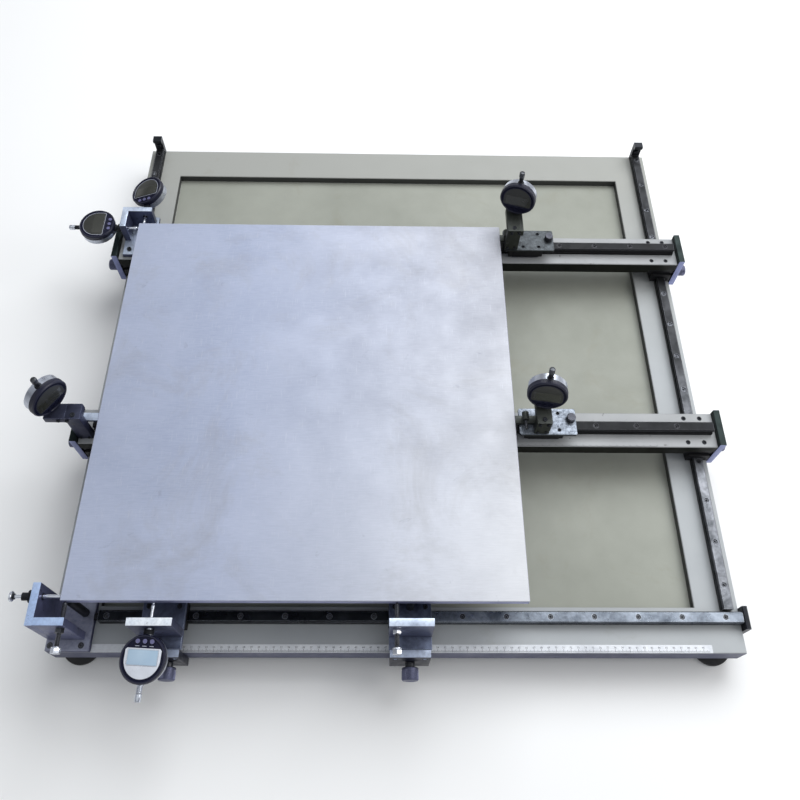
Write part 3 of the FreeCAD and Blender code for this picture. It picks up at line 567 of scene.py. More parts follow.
# dark, light and edge colour, lowest and highest roughness, how metallic, the grain's stretch,
# side colour (painted shade of upright faces), worn edge and shadow_fade (painted shadow)
STEELS = {
    # Side rails: bright towards the front and darkened towards the back: painted light, and a
    # painted shadow of the plate.
    "rail": ((0.05, 0.055, 0.062), (0.30, 0.31, 0.34), (0.30, 0.31, 0.35),
             0.26, 0.46, 0.6, (1, 1, 1), (0.010, 0.011, 0.012), 0.0009, ("Y", 0.02, -0.22, 0.14)),
    "beam_rail": ((0.005, 0.006, 0.007), (0.014, 0.015, 0.018),
                  (0.16, 0.16, 0.18), 0.45, 0.60, 0.2, (1, 1, 1), (0.004, 0.004, 0.005), 0.0012),
    # Front rail: its left part is painted dark as the plate's shadow.
    "front_rail": ((0.09, 0.105, 0.13), (0.30, 0.335, 0.39),
                   (0.60, 0.64, 0.70), 0.22, 0.42, 0.9, (1, 1, 1), (0.012, 0.013, 0.016),
                   0.0009, ("X", 0.03, 0.08, 0.10)),
    "bracket": ((0.46, 0.53, 0.66), (0.66, 0.74, 0.88), (0.50, 0.56, 0.70),
                0.26, 0.44, 0.6, (1, 1, 8), (0.105, 0.118, 0.200)),
    # A brighter copy of the bracket steel for the left bracket's wall: painted light.
    "sky_lit_wall": ((0.74, 0.80, 0.88), (0.90, 0.94, 0.98),
                    (0.50, 0.56, 0.70), 0.26, 0.44, 0.5, (1, 1, 8), (0.080, 0.088, 0.160)),
    # Corner walls: bracket steel tinted bright blue, a painted reflection of the sky.
    "corner": ((0.38, 0.50, 0.76), (0.54, 0.68, 0.94), (0.48, 0.58, 0.80),
               0.26, 0.44, 0.6, (1, 1, 8), (0.155, 0.168, 0.300)),
    "apron": ((0.40, 0.46, 0.60), (0.60, 0.67, 0.82), (0.36, 0.41, 0.56),
              0.30, 0.46, 0.6, (1, 1, 8), (0.014, 0.016, 0.036)),
    # Bracket shelves: bracket steel painted dark as shade, with a wide bright edge as a painted
    # highlight.
    "shelf": ((0.030, 0.035, 0.060), (0.17, 0.20, 0.29), (0.56, 0.63, 0.78),
              0.32, 0.5, 0.6, (1, 1, 1), (0.20, 0.23, 0.37), 0.0016),
    "navy": ((0.022, 0.025, 0.045), (0.060, 0.066, 0.105), (0.20, 0.22, 0.34),
             0.32, 0.5, 0.6, (1, 1, 8), (0.042, 0.046, 0.088)),
    "block": ((0.24, 0.25, 0.33), (0.34, 0.36, 0.45), (0.34, 0.36, 0.45),
              0.32, 0.5, 0.5, (1, 1, 8), (0.055, 0.062, 0.14)),
    "olive": ((0.040, 0.044, 0.040), (0.075, 0.080, 0.074), (0.12, 0.13, 0.13),
              0.34, 0.52, 0.5, (1, 1, 8), (0.038, 0.042, 0.036)),
    "dark": ((0.010, 0.011, 0.014), (0.028, 0.030, 0.036), (0.10, 0.11, 0.14),
             0.34, 0.52, 0.5),
    "black": ((0.004, 0.004, 0.005), (0.012, 0.012, 0.015), (0.05, 0.05, 0.06),
              0.45, 0.6, 0.3),
    "screw": ((0.035, 0.036, 0.042), (0.10, 0.105, 0.115), (0.26, 0.27, 0.30),
              0.25, 0.45),
    "bright": ((0.60, 0.64, 0.72), (0.80, 0.83, 0.90), (0.92, 0.94, 0.98),
               0.14, 0.28),
    "knob": ((0.065, 0.070, 0.115), (0.14, 0.15, 0.24), (0.26, 0.27, 0.38),
             0.30, 0.46, 0.7),
    "lock_knob": ((0.035, 0.036, 0.045), (0.085, 0.088, 0.105),
                  (0.22, 0.23, 0.26), 0.34, 0.5, 0.6),
    "ruler": ((0.50, 0.52, 0.56), (0.68, 0.70, 0.73), (0.75, 0.77, 0.80),
              0.32, 0.48, 0.4, (1, 8, 1)),
}

# name, colour, lowest and highest roughness, colour of worn edges, specular level
PLASTICS = {
    "ink": ("ruler_ink", (0.030, 0.032, 0.050), 0.5, 0.7),
    "bezel": ("bezel_black", (0.006, 0.007, 0.024), 0.32, 0.46, (0.03, 0.035, 0.08)),
    "face": ("face_black", (0.006, 0.007, 0.022), 0.50, 0.65, None, 0.15),
    "dark_window": ("dark_window", (0.026, 0.027, 0.023), 0.28, 0.40),
    "light_window": ("light_window", (0.66, 0.69, 0.76), 0.25, 0.35),
    "line": ("printed_line", (0.42, 0.44, 0.52), 0.4, 0.6),
    "button": ("button_blue", (0.13, 0.13, 0.26), 0.25, 0.40, (0.30, 0.30, 0.45)),
    "rubber": ("foot_rubber", (0.012, 0.012, 0.014), 0.55, 0.75),
    "cap_plastic": ("end_cap_plastic", (0.010, 0.010, 0.012), 0.45, 0.6, (0.03, 0.03, 0.035), 0.2),
}

MATERIAL = {
    "paint": paint_material(),
    "beam": beam_material(),
    "plate": plate_material(),
    "end_plate": end_plate_material(),
    "bright_mottle": mottled_material("bright_mottle", (0.065, 0.078, 0.100), (0.27, 0.30, 0.35)),
    "dark_mottle": mottled_material("dark_mottle", (0.014, 0.017, 0.020), (0.052, 0.060, 0.067)),
    "dark_display": display_material("dark_display", (0.018, 0.019, 0.015),
                                     (0.034, 0.035, 0.028), 0.18, 0.28),
    "light_display": display_material("light_display", (0.30, 0.42, 0.55), (0.40, 0.52, 0.64),
                                      0.14, 0.24),
    "case": steel_material("case_metal", (0.40, 0.43, 0.50), (0.60, 0.63, 0.70),
                           (0.80, 0.83, 0.88), 0.22, 0.38),
    **{key: steel_material(f"{key}_steel", *row) for key, row in STEELS.items()},
    **{key: plastic_material(*row) for key, row in PLASTICS.items()},
}

BLUE_BUTTONS = ("front", "left", "back")
PRINTED_FACES = ("left", "back")
CAD_MATERIAL = {
    "base_plate": "paint", "front_beam": "beam", "rear_beam": "beam", "standard_plate": "plate",
    "front_rail": "front_rail", "side_rails": "rail", "front_beam_rail": "beam_rail",
    "rear_beam_rail": "beam_rail", "rail_end_stops": "dark", "table_fasteners": "screw",
    "steel_ruler": "ruler", "corner_block": "block", "corner_post_and_sleeve": "dark",
}


def paint_cad_nodes():
    """Give every CAD node a procedural material."""
    for name, node in frame["nodes"].items():
        key = CAD_MATERIAL.get(name, "bracket")
        if name.endswith("_indicator_buttons"):
            key = "button" if name.removesuffix("_indicator_buttons") in BLUE_BUTTONS else "face"
        node.data.materials.clear()
        node.data.materials.append(MATERIAL[key])


# ---------------------------------------------------------------- indicators
MIDDLES = {
    "front": (150.7, -20.6, 76.7), "left": (-31.3, 640.0, 86.0), "back": (42.0, 713.3, 86.0),
    "beam_end": (-20.0, 302.0, 155.0), "front_beam": (675.3, 317.0, 150.0),
    "rear_beam": (659.6, 653.5, 165.0),
}
HOLDERS = {
    "front": "left_bracket", "left": "rear_cross_beam", "back": "rear_cross_beam",
    "beam_end": "front_cross_beam", "front_beam": "front_carriage", "rear_beam": "rear_carriage",
}
TIP_REACH, LEVER_TIP_REACH = 67.0, 62.0
FACE_TOP = 10.15
WINDOW_TOP = 10.6
BUTTONS_X = (-9, 0, 9)


def face_axes(name):
    """One indicator's own axes: x to the right, y towards the contact point, z out of the face."""
    to_cap = JOINT_AXIS[f"{name}_spindle_slide"]
    to_left = JOINT_AXIS[f"{name}_button_press"].cross(to_cap)
    return axes_at(spot(*MIDDLES[name]), -to_left, -to_cap)


def stem_axes(name):
    """One indicator's stem: z towards the cap."""
    to_back = JOINT_AXIS[f"{name}_button_press"]
    to_left = to_back.cross(JOINT_AXIS[f"{name}_spindle_slide"])
    return axes_at(spot(*MIDDLES[name]), to_left, to_back)


def window_outline(inset=0.0):
    """The display's surround: flat towards the buttons, round towards the cap."""
    half = 22.5 - inset
    flat = 12.5 - inset
    points = [(-half + 2.0, flat), (half - 2.0, flat), (half, flat - 2.0)]
    for step in range(21):
        angle = math.radians(-4 - 172 * step / 20)
        points.append((half * math.cos(angle), half * math.sin(angle)))
    return points + [(-half, flat - 2.0)]


def indicator(name):
    """Case, bezel, face, display and stem of one indicator."""
    place = face_axes(name)
    light = name == "front"
    shade = "light" if light else "dark"
    metal = "case" if light else "dark"

    def add(part, mesh, material):
        return add_piece(f"{name}_{part}", mesh, HOLDERS[name], material, place)

    back = lathe([(0, -9), (18.5, -9), (19, -8.6), (22, -8.6), (22.5, -9), (26.6, -9),
                  (27.5, -8.1), (27.5, 2.2), (0, 2.2)], 96)
    screws = [moved(socket_screw(1.6, 0.7, 0.8, 0.4),
                    Matrix.Translation((x, y, -8.9)) @ Matrix.Rotation(math.pi, 4, "X"))
              for x, y in ((-14.5, 14.5), (14.5, 14.5), (-14.5, -14.5), (14.5, -14.5))]
    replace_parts(add("case_back", joined([back, *screws]), "case"), f"{name}_indicator_case")
    ring = [(26.0, 2.0), (28.0, 2.0), (28.5, 2.6), (28.5, 4.0), (28.5, 8.2), (28.5, 9.4),
            (27.3, 11.0), (26.1, 11.0), (25.5, 10.3), (25.3, 9.0), (25.3, 2.0), (26.0, 2.0)]
    add("bezel", lathe(ring, 96, 90, 0.35, (4.0, 8.2)), "bezel")
    wells = [circle_points(2.72, (x, 20.5), 32) for x in BUTTONS_X]
    add("face", slab(circle_points(25.5, count=72), 1.2, wells, 0.1, 9.0), "face")

    add("window", slab(window_outline(), 0.5, (), 0.12, FACE_TOP), f"{shade}_window")
    display = slab(rounded_rectangle((-18.5, -6.5), (18.5, 10.6), 0.8), 0.35, (), 0.1, WINDOW_TOP)
    add("display", display, f"{shade}_display")
    if light:
        line = slab(rounded_rectangle((-19.6, -7.6), (19.6, 11.7), 1.4), 0.3,
                    [rounded_rectangle((-18.7, -6.7), (18.7, 10.8), 0.8)], 0.08, WINDOW_TOP)
        add("display_frame", line, "case")
    else:
        line = slab(window_outline(-0.1), 0.3, [window_outline(0.5)], 0.08, 10.5)
        add("window_line", line, "line" if name in PRINTED_FACES else "bezel")
    marks = [slab(rectangle(x - 2.6, 14.6, x + 2.6, 15.3), 0.16, (), 0.03, FACE_TOP)
             for x in BUTTONS_X]
    add("button_marks", joined(marks), "line" if light else "bezel")

    stem = lathe([(0, 26.0), (5.6, 26.0), (5.6, 29.5), (5.0, 30.2), (4.0, 30.4), (4.0, 46.2),
                  (3.4, 47.0), (0, 47.0)], 40)
    tube = lathe([(0, 26.0), (4.8, 26.0), (4.8, 28.6), (4.2, 29.2), (3.5, 29.4), (3.5, 37.6),
                  (3.1, 38.0), (0, 38.0)], 40)
    upright = Matrix.Rotation(-math.pi / 2, 4, "X")
    add("stem", moved(stem, upright), metal)
    add("cap_tube", moved(tube, upright.inverted()), metal)


def spindle(name):
    """Spindle, contact point and lifting cap of one indicator."""
    place = stem_axes(name)
    tip = -(LEVER_TIP_REACH if name in LEVERS else TIP_REACH)
    rod = lathe([(0, tip), (0.8, tip + 0.25), (1.3, tip + 0.9), (1.45, tip + 1.6),
                 (1.2, tip + 2.6), (2.4, tip + 4.4), (2.4, tip + 8.0), (1.95, tip + 8.4),
                 (1.95, -38), (0, -38)], 32)
    piece = add_piece(f"{name}_spindle_rod", rod, f"{name}_spindle", "bright",
                      place)
    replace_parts(piece, f"{name}_indicator_spindle")
    cap = lathe([(0, 38.3), (3.6, 38.3), (4.2, 38.9), (4.2, 41.0), (3.8, 41.4), (4.2, 41.8),
                 (4.2, 46.4), (3.6, 47.5), (2.4, 48.0), (0, 48.0)], 40)
    add_piece(f"{name}_lifting_cap", cap, f"{name}_spindle",
              "bright" if name in ("front", "left") else "screw", place)


def stem_collars(name, *ends):
    """Clamp collars round an indicator's stem, where it passes its wall or lug."""
    rings = [lathe([(4.0, -far), (6.1, -far), (6.7, 0.6 - far), (6.7, -near - 0.6), (6.1, -near),
                    (4.0, -near), (4.0, -far)], 40) for near, far in ends]
    add_piece(f"{name}_stem_collars", joined(rings), HOLDERS[name], "dark",
              stem_axes(name))


# ---------------------------------------------------------------- brackets
def plate(name, body, facing, outline, start, thickness, holes=(), material="bracket",
          bevel=0.8):
    """A flat plate whose lower face is at start, along the axis it faces: its outline is in y
    and z where it faces the side, in x and z for the front, and in x and y for up."""
    place = {"side": along_x(start, 0, 0), "up": lying(0, 0, start),
             "front": axes_at(spot(0, start + thickness, 0), X, Z)}[facing]
    mesh = slab(outline, thickness, holes, bevel)
    return add_piece(name, mesh, body, material, place)


def box_piece(name, body, low, high, material, bevel):
    add_piece(name, block(low, high, bevel), body, material, lying())


def screws_at(name, body, places, axis, radius, height):
    """Dark socket screws whose heads stand on the given places, pointing out along axis."""
    turn = Vector(Z).rotation_difference(Vector(axis)).to_matrix().to_4x4()
    meshes = [moved(socket_screw(radius, height, radius * 0.55, height * 0.6),
                    Matrix.Translation(spot(*place)) @ turn @ Matrix.Scale(0.001, 4))
              for place in places]
    add_piece(name, joined(meshes), body, "dark")


def guide_block(name, body, x, y, foot, across=Y):
    """A guide block astride a rail: a steel body between two plastic end caps with screws."""
    place = axes_at(spot(x, y, foot), across, Z)

    def profile(inset):
        half, low, top = BLOCK_WIDTH / 2 - inset, BLOCK_LOW + inset, BLOCK_TOP - inset
        reach, roof, corner = 7.85, 15.35, 1.5
        return [(-half, low), (-reach, low), (-reach, roof), (reach, roof), (reach, low),
                (half, low), (half, top - corner), (half - corner, top), (corner - half, top),
                (-half, top - corner)]

    steel = slab(profile(0), 45, (), 0.3, -22.5)
    piece = add_piece(f"{name}_steel", steel, body, "black", place)
    caps = []
    for start, end, turn in ((22.5, 28.5, 0), (-28.5, -28.5, math.pi)):
        caps.append(slab(profile(0.6), 6, (), 0.5, start))
        for side in (-12.4, 12.4):
            way = Matrix.Translation((side, 11, end)) @ Matrix.Rotation(turn, 4, "X")
            caps.append(moved(socket_screw(1.5, 0.5, 0.8, 0.3), way))
    add_piece(f"{name}_caps", joined(caps), body, "cap_plastic", place)
    return piece


def knob(node, body, at, direction, reach, radius, screw_radius):
    """A knurled knob on its clamp screw; the screw's tip is at its own origin."""
    direction = Vector(direction)
    across = Vector(Z)
    place = axes_at(spot(*at), across, direction.cross(across))
    low, high = reach + 6, reach + 22
    neck = radius - 0.9
    thread = thread_profile(screw_radius, 0.8, reach - 0.4, 1.0, 0.4)
    screw = lathe([(0, 0), (screw_radius - 0.6, 0), *thread, (6.0, reach), (6.5, reach + 0.5),
                   (6.5, low + 0.2), (0, low + 0.2)], 40)
    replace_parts(add_piece(f"{node}_screw", screw, body, "screw", place), node)
    grip = lathe([(0, low), (radius - 1.2, low), (radius, low + 1.2), (radius, low + 2.4),
                  (neck, low + 2.6), (neck, low + 3.4), (radius, low + 3.6),
                  (radius, high - 1.4), (radius - 1.2, high), (radius - 3.6, high),
                  (radius - 4.2, high - 0.5), (0, high - 0.5)],
                 48, 44, 0.55, (low + 3.55, high - 1.35))
    add_piece(f"{node}_grip", grip, body, "knob", place)


APRON_FRONT, APRON_THICK, APRON_LOW = -11, 10, -35
APRON_SCREW_Z, KNOB_Z = 19, -6
SLANTED_STEM_HOLE = 4.9


def stem_hole(name, deep):
    """Where a stem that runs at a slant passes an upright wall whose middle is at deep."""
    middle, axis = Vector(MIDDLES[name]), -JOINT_AXIS[f"{name}_spindle_slide"]
    centre = middle + axis * ((deep - middle.y) / axis.y)
    return circle_points(SLANTED_STEM_HOLE, (centre.x, centre.z), 32)


def front_bracket(side, left, knob_x, stop_x=None):
    """The plates of a bracket on the front rail."""
    body = f"{side}_bracket"
    right = left + BRACKET_WIDTH
    if stop_x:
        hole, steel = circle_points(STOP_HOLE, (stop_x, TOUCH_HEIGHT), 32), "bracket"
    else:
        hole, steel = stem_hole("front", WALL_FRONT + WALL_THICK / 2), "sky_lit_wall"
    wall = plate(f"{side}_bracket_wall", body, "front", rectangle(left, SHELF_TOP, right, WALL_TOP),
                 WALL_FRONT, WALL_THICK, [hole], steel)
    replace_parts(wall, f"{side}_bracket_plates")
    plate(f"{side}_bracket_shelf", body, "up", rectangle(left, -1, right, 60.5), BLOCK_TOP,
          SHELF_THICK, material="shelf")
    apron_screws = [left + 9, left + 48]
    holes = [circle_points(STEM_HOLE, (knob_x, KNOB_Z), 32)]
    holes += [circle_points(3.3, (x, APRON_SCREW_Z), 24) for x in apron_screws]
    plate(f"{side}_bracket_apron", body, "front",
          rectangle(left + 1.5, APRON_LOW, right - 1.5, SHELF_TOP), APRON_FRONT, APRON_THICK,
          holes, "apron", 0.9)
    screws_at(f"{side}_bracket_screws", body, [(x, -6.5, APRON_SCREW_Z) for x in apron_screws],
              FORWARD, 2.9, 2.5)
    screws_at(f"{side}_bracket_wall_screws", body, [(left + x, 52, SHELF_TOP) for x in (8, 49)],
              Z, 3.2, 3.0)
    steel = guide_block(f"{side}_bracket_block", body, left + BRACKET_WIDTH / 2, FRONT_RAIL_Y, 0)
    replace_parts(steel, f"{side}_bracket_block")
    knob(f"{side}_bracket_knob", f"{body}_clamp", (knob_x, -0.3, KNOB_Z), FORWARD, 11, 11.3, 4)


def stop_screw(name, across, body):
    """A threaded stop with a bright head; it runs along y."""
    place = along_y(across, 0, TOUCH_HEIGHT)
    shank = lathe([(0, -9.5), *thread_profile(3.0, -8, 43.2), (2.6, 44.2), (1.3, 45.7),
                   (0, 45.7)], 32)
    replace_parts(add_piece(f"{name}_thread", shank, body, "screw", place), name)
    button = lathe([(0, 0), (5.3, 0), (5.9, 0.6), (5.9, 1.6), (5.3, 2.2), (0, 2.2)], 40)
    head = joined([slab(hexagon(11), 6), raised(button, 5.8)])
    add_piece(f"{name}_head", raised(head, -16), body, "bright", place)


def lock_nut(name, across, body):
    """The nut that locks a stop screw against its wall."""
    ring = slab(hexagon(10), 6, [circle_points(STOP_HOLE, count=32)])
    add_piece(name, ring, body, "bright", along_y(across, 8, TOUCH_HEIGHT))


def support_post(name, body, across, deep, floor):
    post = lathe([(0, floor), (5, floor), (5, SUPPORT_TOP - 1.8), (3.4, SUPPORT_TOP),
                  (0, SUPPORT_TOP)], 40)
    add_piece(name, post, body, "dark", lying(across, deep))


# ---------------------------------------------------------------- cross beams
BEAM_MIDDLE = {"front": 300.0, "rear": 626.5}
BEAM_TOP, BEAM_WIDTH = 53, 54
END_PLATE_THICK, END_KNOB_Z = 10, -3
CARRIAGE_START, CARRIAGE_LENGTH, CARRIAGE_HALF = 643, 84, 20.5
CARRIAGE_FLOOR = BEAM_TOP + BLOCK_TOP
CARRIAGE_THICK = 4.5
LOCK_SHIFT = 76
POST_WIDTH, POST_THICK, LUG_HEIGHT = 22, 11, 13
HUB_RADIUS, ARM_THICK, LEVER_WIDTH = 5, 4.8, 12
NOSE_LOW, NOSE_HIGH = 83.5, 88.3

# pivot (x, z), nose x, arm (x, z) and material of each lever
LEVERS = {
    "beam_end": ((8.0, 104.0), 35.7, (-25.0, 92.7), "bracket"),
    "front_beam": ((650.0, 100.0), 636.3, (681.0, 89.0), "olive"),
    "rear_beam": ((646.0, 100.0), 636.3, (665.0, 104.0), "olive"),
}


def beam_under(name):
    """Middle of the beam that a lever's indicator stands on."""
    return BEAM_MIDDLE["rear" if name == "rear_beam" else "front"]


def beam_ends(side):
    """Guide blocks, saddles, end plates and clamp knobs at both ends of a beam."""
    body = f"{side}_cross_beam"
    middle = BEAM_MIDDLE[side]
    front = middle - BEAM_WIDTH / 2
    for end, rail_x, saddle_x, plate_x, tip_x, out in (
            ("left", LEFT_RAIL_X, 0, -10.5, -0.3, -1),
            ("right", RIGHT_RAIL_X, 895.5, 940.5, 940.3, 1)):
        outward = (out, 0, 0)
        guide_block(f"{side}_beam_block_{end}", body, rail_x, middle, 0, (-1, 0, 0))
        box_piece(f"{side}_beam_saddle_{end}", body, (saddle_x, front + 2, BLOCK_TOP),
                  (saddle_x + 44.5, front + 52, 36), "black", 0.8)
        end_plate = plate(f"{side}_end_plate_{end}", body, "side",
                          rectangle(front, -8, front + 56, 62), plate_x, END_PLATE_THICK,
                          [circle_points(STOP_HOLE, (middle, END_KNOB_Z), 28)], "end_plate", 1.0)
        if end == "left":
            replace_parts(end_plate, f"{side}_beam_end_fittings")
        face = plate_x + (END_PLATE_THICK if out > 0 else 0)
        screws_at(f"{side}_end_plate_screws_{end}", body,
                  [(face, middle + y, 44) for y in (-17, 17)], outward, 3.4, 2.6)
        knob(f"{side}_beam_knob_{end}", f"{side}_beam_clamp_{end}", (tip_x, middle, END_KNOB_Z),
             outward, 10.5, 9.5, 3)
    places = [(x, middle + y, BEAM_TOP - 3.9) for x in (897, 921) for y in (-19, 19)]
    screws_at(f"{side}_beam_screws", body, places, Z, 3.25, 3.2)


def beam_scale():
    """A thin strip with centimetre notches along the front beam's front top edge."""
    start, end, front, notch, back = 60, 850, 273.8, 275.6, 280.2
    outline = [(end, back), (start, back)]
    for left in range(start, end, 10):
        outline += [(left + 0.2, front), (left + 8.6, front), (left + 9.0, notch),
                    (left + 9.8, notch)]
    plate("front_beam_scale", "front_cross_beam", "up", outline + [(end, front)], BEAM_TOP, 0.6,
          material="beam", bevel=0.1)


def lever_outline(pivot, nose, arm):
    """Side view of a bell crank: a nose bar low down, a web, a round hub and an arm."""
    pivot_x, pivot_z = pivot
    side = 1 if nose > pivot_x else -1
    nose_reach = abs(nose - pivot_x)
    arm_reach = abs(arm[0] - pivot_x)
    arm_high, arm_low = arm[1], arm[1] - ARM_THICK
    cut = 0.8
    points = [(-3, NOSE_LOW), (nose_reach - cut, NOSE_LOW), (nose_reach, NOSE_LOW + cut),
              (nose_reach, NOSE_HIGH - cut), (nose_reach - cut, NOSE_HIGH), (3, NOSE_HIGH)]
    hub_arm = arm_high > pivot_z - 4
    first, last = -53.13, 126.87 if hub_arm else 233.13
    for step in range(19):
        angle = math.radians(first + (last - first) * step / 18)
        points.append((HUB_RADIUS * math.cos(angle), pivot_z + HUB_RADIUS * math.sin(angle)))
    end = [(-arm_reach + cut, arm_high), (-arm_reach, arm_high - cut),
           (-arm_reach, arm_low + cut), (-arm_reach + cut, arm_low)]
    if hub_arm:
        points += [*end, (-4.9, arm_low), (-3, pivot_z - 4)]
    else:
        points += [(-3, arm_high), *end]
        if arm_low > NOSE_LOW + 0.5:
            points.append((-3, arm_low))
    return [(pivot_x + side * across, high) for across, high in points]


def lever(name):
    """A lever, with the rear one's arm reaching back under its indicator."""
    pivot, nose, arm, material = LEVERS[name]
    middle = beam_under(name)
    mesh = slab(lever_outline(pivot, nose, arm), LEVER_WIDTH, [circle_points(2.05, pivot, 28)],
                0.45)
    place = axes_at(spot(0, middle + LEVER_WIDTH / 2, 0), X, Z)
    meshes = [moved(mesh, place)]
    if name == "rear_beam":
        arm_end = block((pivot[0] + 1, middle + 4, arm[1] - ARM_THICK),
                        (arm[0], middle + 18, arm[1]), 0.5)
        meshes.append(moved(arm_end, lying()))
    piece = add_piece(f"{name}_crank", joined(meshes), f"{name}_lever", material)
    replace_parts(piece, f"{name}_lever")


def lever_bracket(name, post_x, floor, material):
    """Post, lug round the indicator's stem, lever pin and screws."""
    body = HOLDERS[name]
    x, y, z = MIDDLES[name]
    back = beam_under(name) - 19
    low, top = z - 45, z - 45 + LUG_HEIGHT
    post_end = post_x + POST_WIDTH
    left, right = min(post_x, x - 9), max(post_end, x + 9)
    profile = [(back, floor), (back + POST_THICK, floor), (back + POST_THICK, low), (y + 2, low),
               (y + 2, top), (back, top)]
    post = plate(f"{name}_post", body, "side", profile, post_x, POST_WIDTH, (), material, 0.9)
    if name == "beam_end":
        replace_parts(post, "beam_end_bracket")
    if left < post_x:
        box_piece(f"{name}_lug", body, (left, back, low), (post_x + 0.6, y + 2, top), material, 0.9)
    if right > post_end:
        box_piece(f"{name}_lug", body, (post_end - 0.6, back, low), (right, y + 2, top), material,
                  0.9)
    pivot_x, pivot_z = LEVERS[name][0]
    pin = lathe([(0, -1), (2.0, -1), (2.0, 24.1), (1.6, 24.5), (0, 24.5)], 32)
    add_piece(f"{name}_pin", pin, body, "screw",
              along_y(pivot_x, back + 1, pivot_z))
    middle_x, middle_z = (left + right) / 2, low + LUG_HEIGHT / 2
    screws_at(f"{name}_post_screws", body,
              [(middle_x + shift, back, middle_z) for shift in (-6, 6)], FORWARD, 2.6, 2.2)
    screws_at(f"{name}_lug_screw", body, [(post_x + POST_WIDTH / 2, back + 6, top)], Z, 3.4, 1.2)
    screws_at(f"{name}_foot_screws", body, [(post_x + shift, back, floor + 5) for shift in (5, 17)],
              FORWARD, 2.2, 1.6)
    stem_collars(name, (30.4, 33.4))


def carriage(side, post_shift, finish):
    """A carriage's guide block, its drilled plate, its bracket and its lock screw."""
    body = f"{side}_carriage"
    middle = BEAM_MIDDLE[side]
    centre = CARRIAGE_START + 38
    lock_x, lock_y = CARRIAGE_START + LOCK_SHIFT, middle + 4
    steel = guide_block(f"{side}_carriage_block", body, centre, middle, BEAM_TOP)
    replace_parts(steel, f"{side}_beam_carriage")
    places = [(centre + x, middle + y) for x in (-6, 20) for y in (-13, 13)]
    holes = [circle_points(2.5, place, 24) for place in places]
    holes.append(circle_points(2.55, (lock_x, lock_y), 28))
    outline = rounded_rectangle((CARRIAGE_START, middle - CARRIAGE_HALF),
                                (CARRIAGE_START + CARRIAGE_LENGTH, middle + CARRIAGE_HALF), 3)
    plate(f"{side}_carriage_plate", body, "up", outline, CARRIAGE_FLOOR, CARRIAGE_THICK, holes,
          finish, 0.5)
    screws_at(f"{side}_carriage_screws", body, [(x, y, CARRIAGE_FLOOR + 0.2) for x, y in places],
              Z, 2.35, 2.6)
    lever_bracket(f"{side}_beam", CARRIAGE_START + post_shift, CARRIAGE_FLOOR + CARRIAGE_THICK,
                  "olive")
    lock = lathe([(0, 0), (2.1, 0), *thread_profile(2.5, 0.6, 13.6, 0.8, 0.35), (6.0, 14),
                  (6.5, 14.5), (6.5, 15.4), (6.5, 20.6), (6.5, 21.2), (5.7, 22), (3.0, 22),
                  (2.6, 21.6), (0, 21.6)], 40, 32, 0.4, (15.3, 20.7))
    piece = add_piece(f"{side}_lock_knob", lock, f"{side}_carriage_lock", "lock_knob",
                      lying(lock_x, lock_y, BEAM_TOP + 15.3))
    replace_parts(piece, f"{side}_beam_lock_screw")


def rear_corner_bracket():
    """The bracket at the rear beam's left end and the beam's own support post."""
    body = "rear_cross_beam"
    floor = BEAM_TOP + 8
    foot = plate("rear_bracket_foot", body, "up", rectangle(8, 604, 58, 682), BEAM_TOP, 8)
    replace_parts(foot, "rear_corner_bracket")
    for part, facing, outline, start, thickness, hole_at in (
            ("side", "side", rectangle(632, floor, 663, WALL_TOP), 8, 10, 640),
            ("back", "front", rectangle(8, floor, 56, WALL_TOP), 663, 9, 42)):
        plate(f"rear_bracket_{part}", body, facing, outline, start, thickness,
              [circle_points(STEM_HOLE, (hole_at, TOUCH_HEIGHT), 32)])
    support_post("rear_bracket_post", body, 46, 638, floor)
    support_post("rear_beam_post", body, 600, 607, BEAM_TOP)
    screws_at("rear_bracket_screws", body, [(18, 614, floor), (46, 614, floor)], Z, 3.6, 3.2)
    stem_collars("left", (33.0, 38.6))
    stem_collars("back", (35.2, 40.6))


def beams():
    for side in ("front", "rear"):
        beam_ends(side)
    beam_scale()
    carriage("front", 20, "bright_mottle")
    carriage("rear", 0, "dark_mottle")
    lever_bracket("beam_end", 0, BEAM_TOP, "navy")
    for name in LEVERS:
        lever(name)
    rear_corner_bracket()


# ---------------------------------------------------------------- table
RULER_START, RULER_END = 58.5, 893.5
RULER_ZERO = -18.8
RULER_FRONT, RULER_TOP = 0.7, 0.83
WORN_START, WORN_END = 40, 3


def ruler_marks():
    """Millimetre, half-centimetre and centimetre marks with numbers, along the front edge."""
    build = bmesh.new()
    first = math.ceil(RULER_START - RULER_ZERO) + WORN_START
    last = math.floor(RULER_END - RULER_ZERO) - WORN_END
    for step in range(first, last):
        length = 4.2 if step % 10 == 0 else 3.2 if step % 5 == 0 else 2.2
        width = 0.16 if step % 10 else 0.24
        corners = [build.verts.new(spot(RULER_ZERO + step + x, RULER_FRONT + y, RULER_TOP))
                   for x, y in rectangle(-width, 0, width, length)]
        build.faces.new(corners)
    meshes = [finished(build)]
    for centimetre in range(first // 10 + 1, last // 10 + 1):
        at = spot(RULER_ZERO + centimetre * 10, 5.6, RULER_TOP)
        meshes.append(moved(text_mesh(str(centimetre), 3.6),
                            Matrix.Translation(at) @ Matrix.Scale(0.001, 4)))
    add_piece("ruler_marks", joined(meshes), "table", "ink")


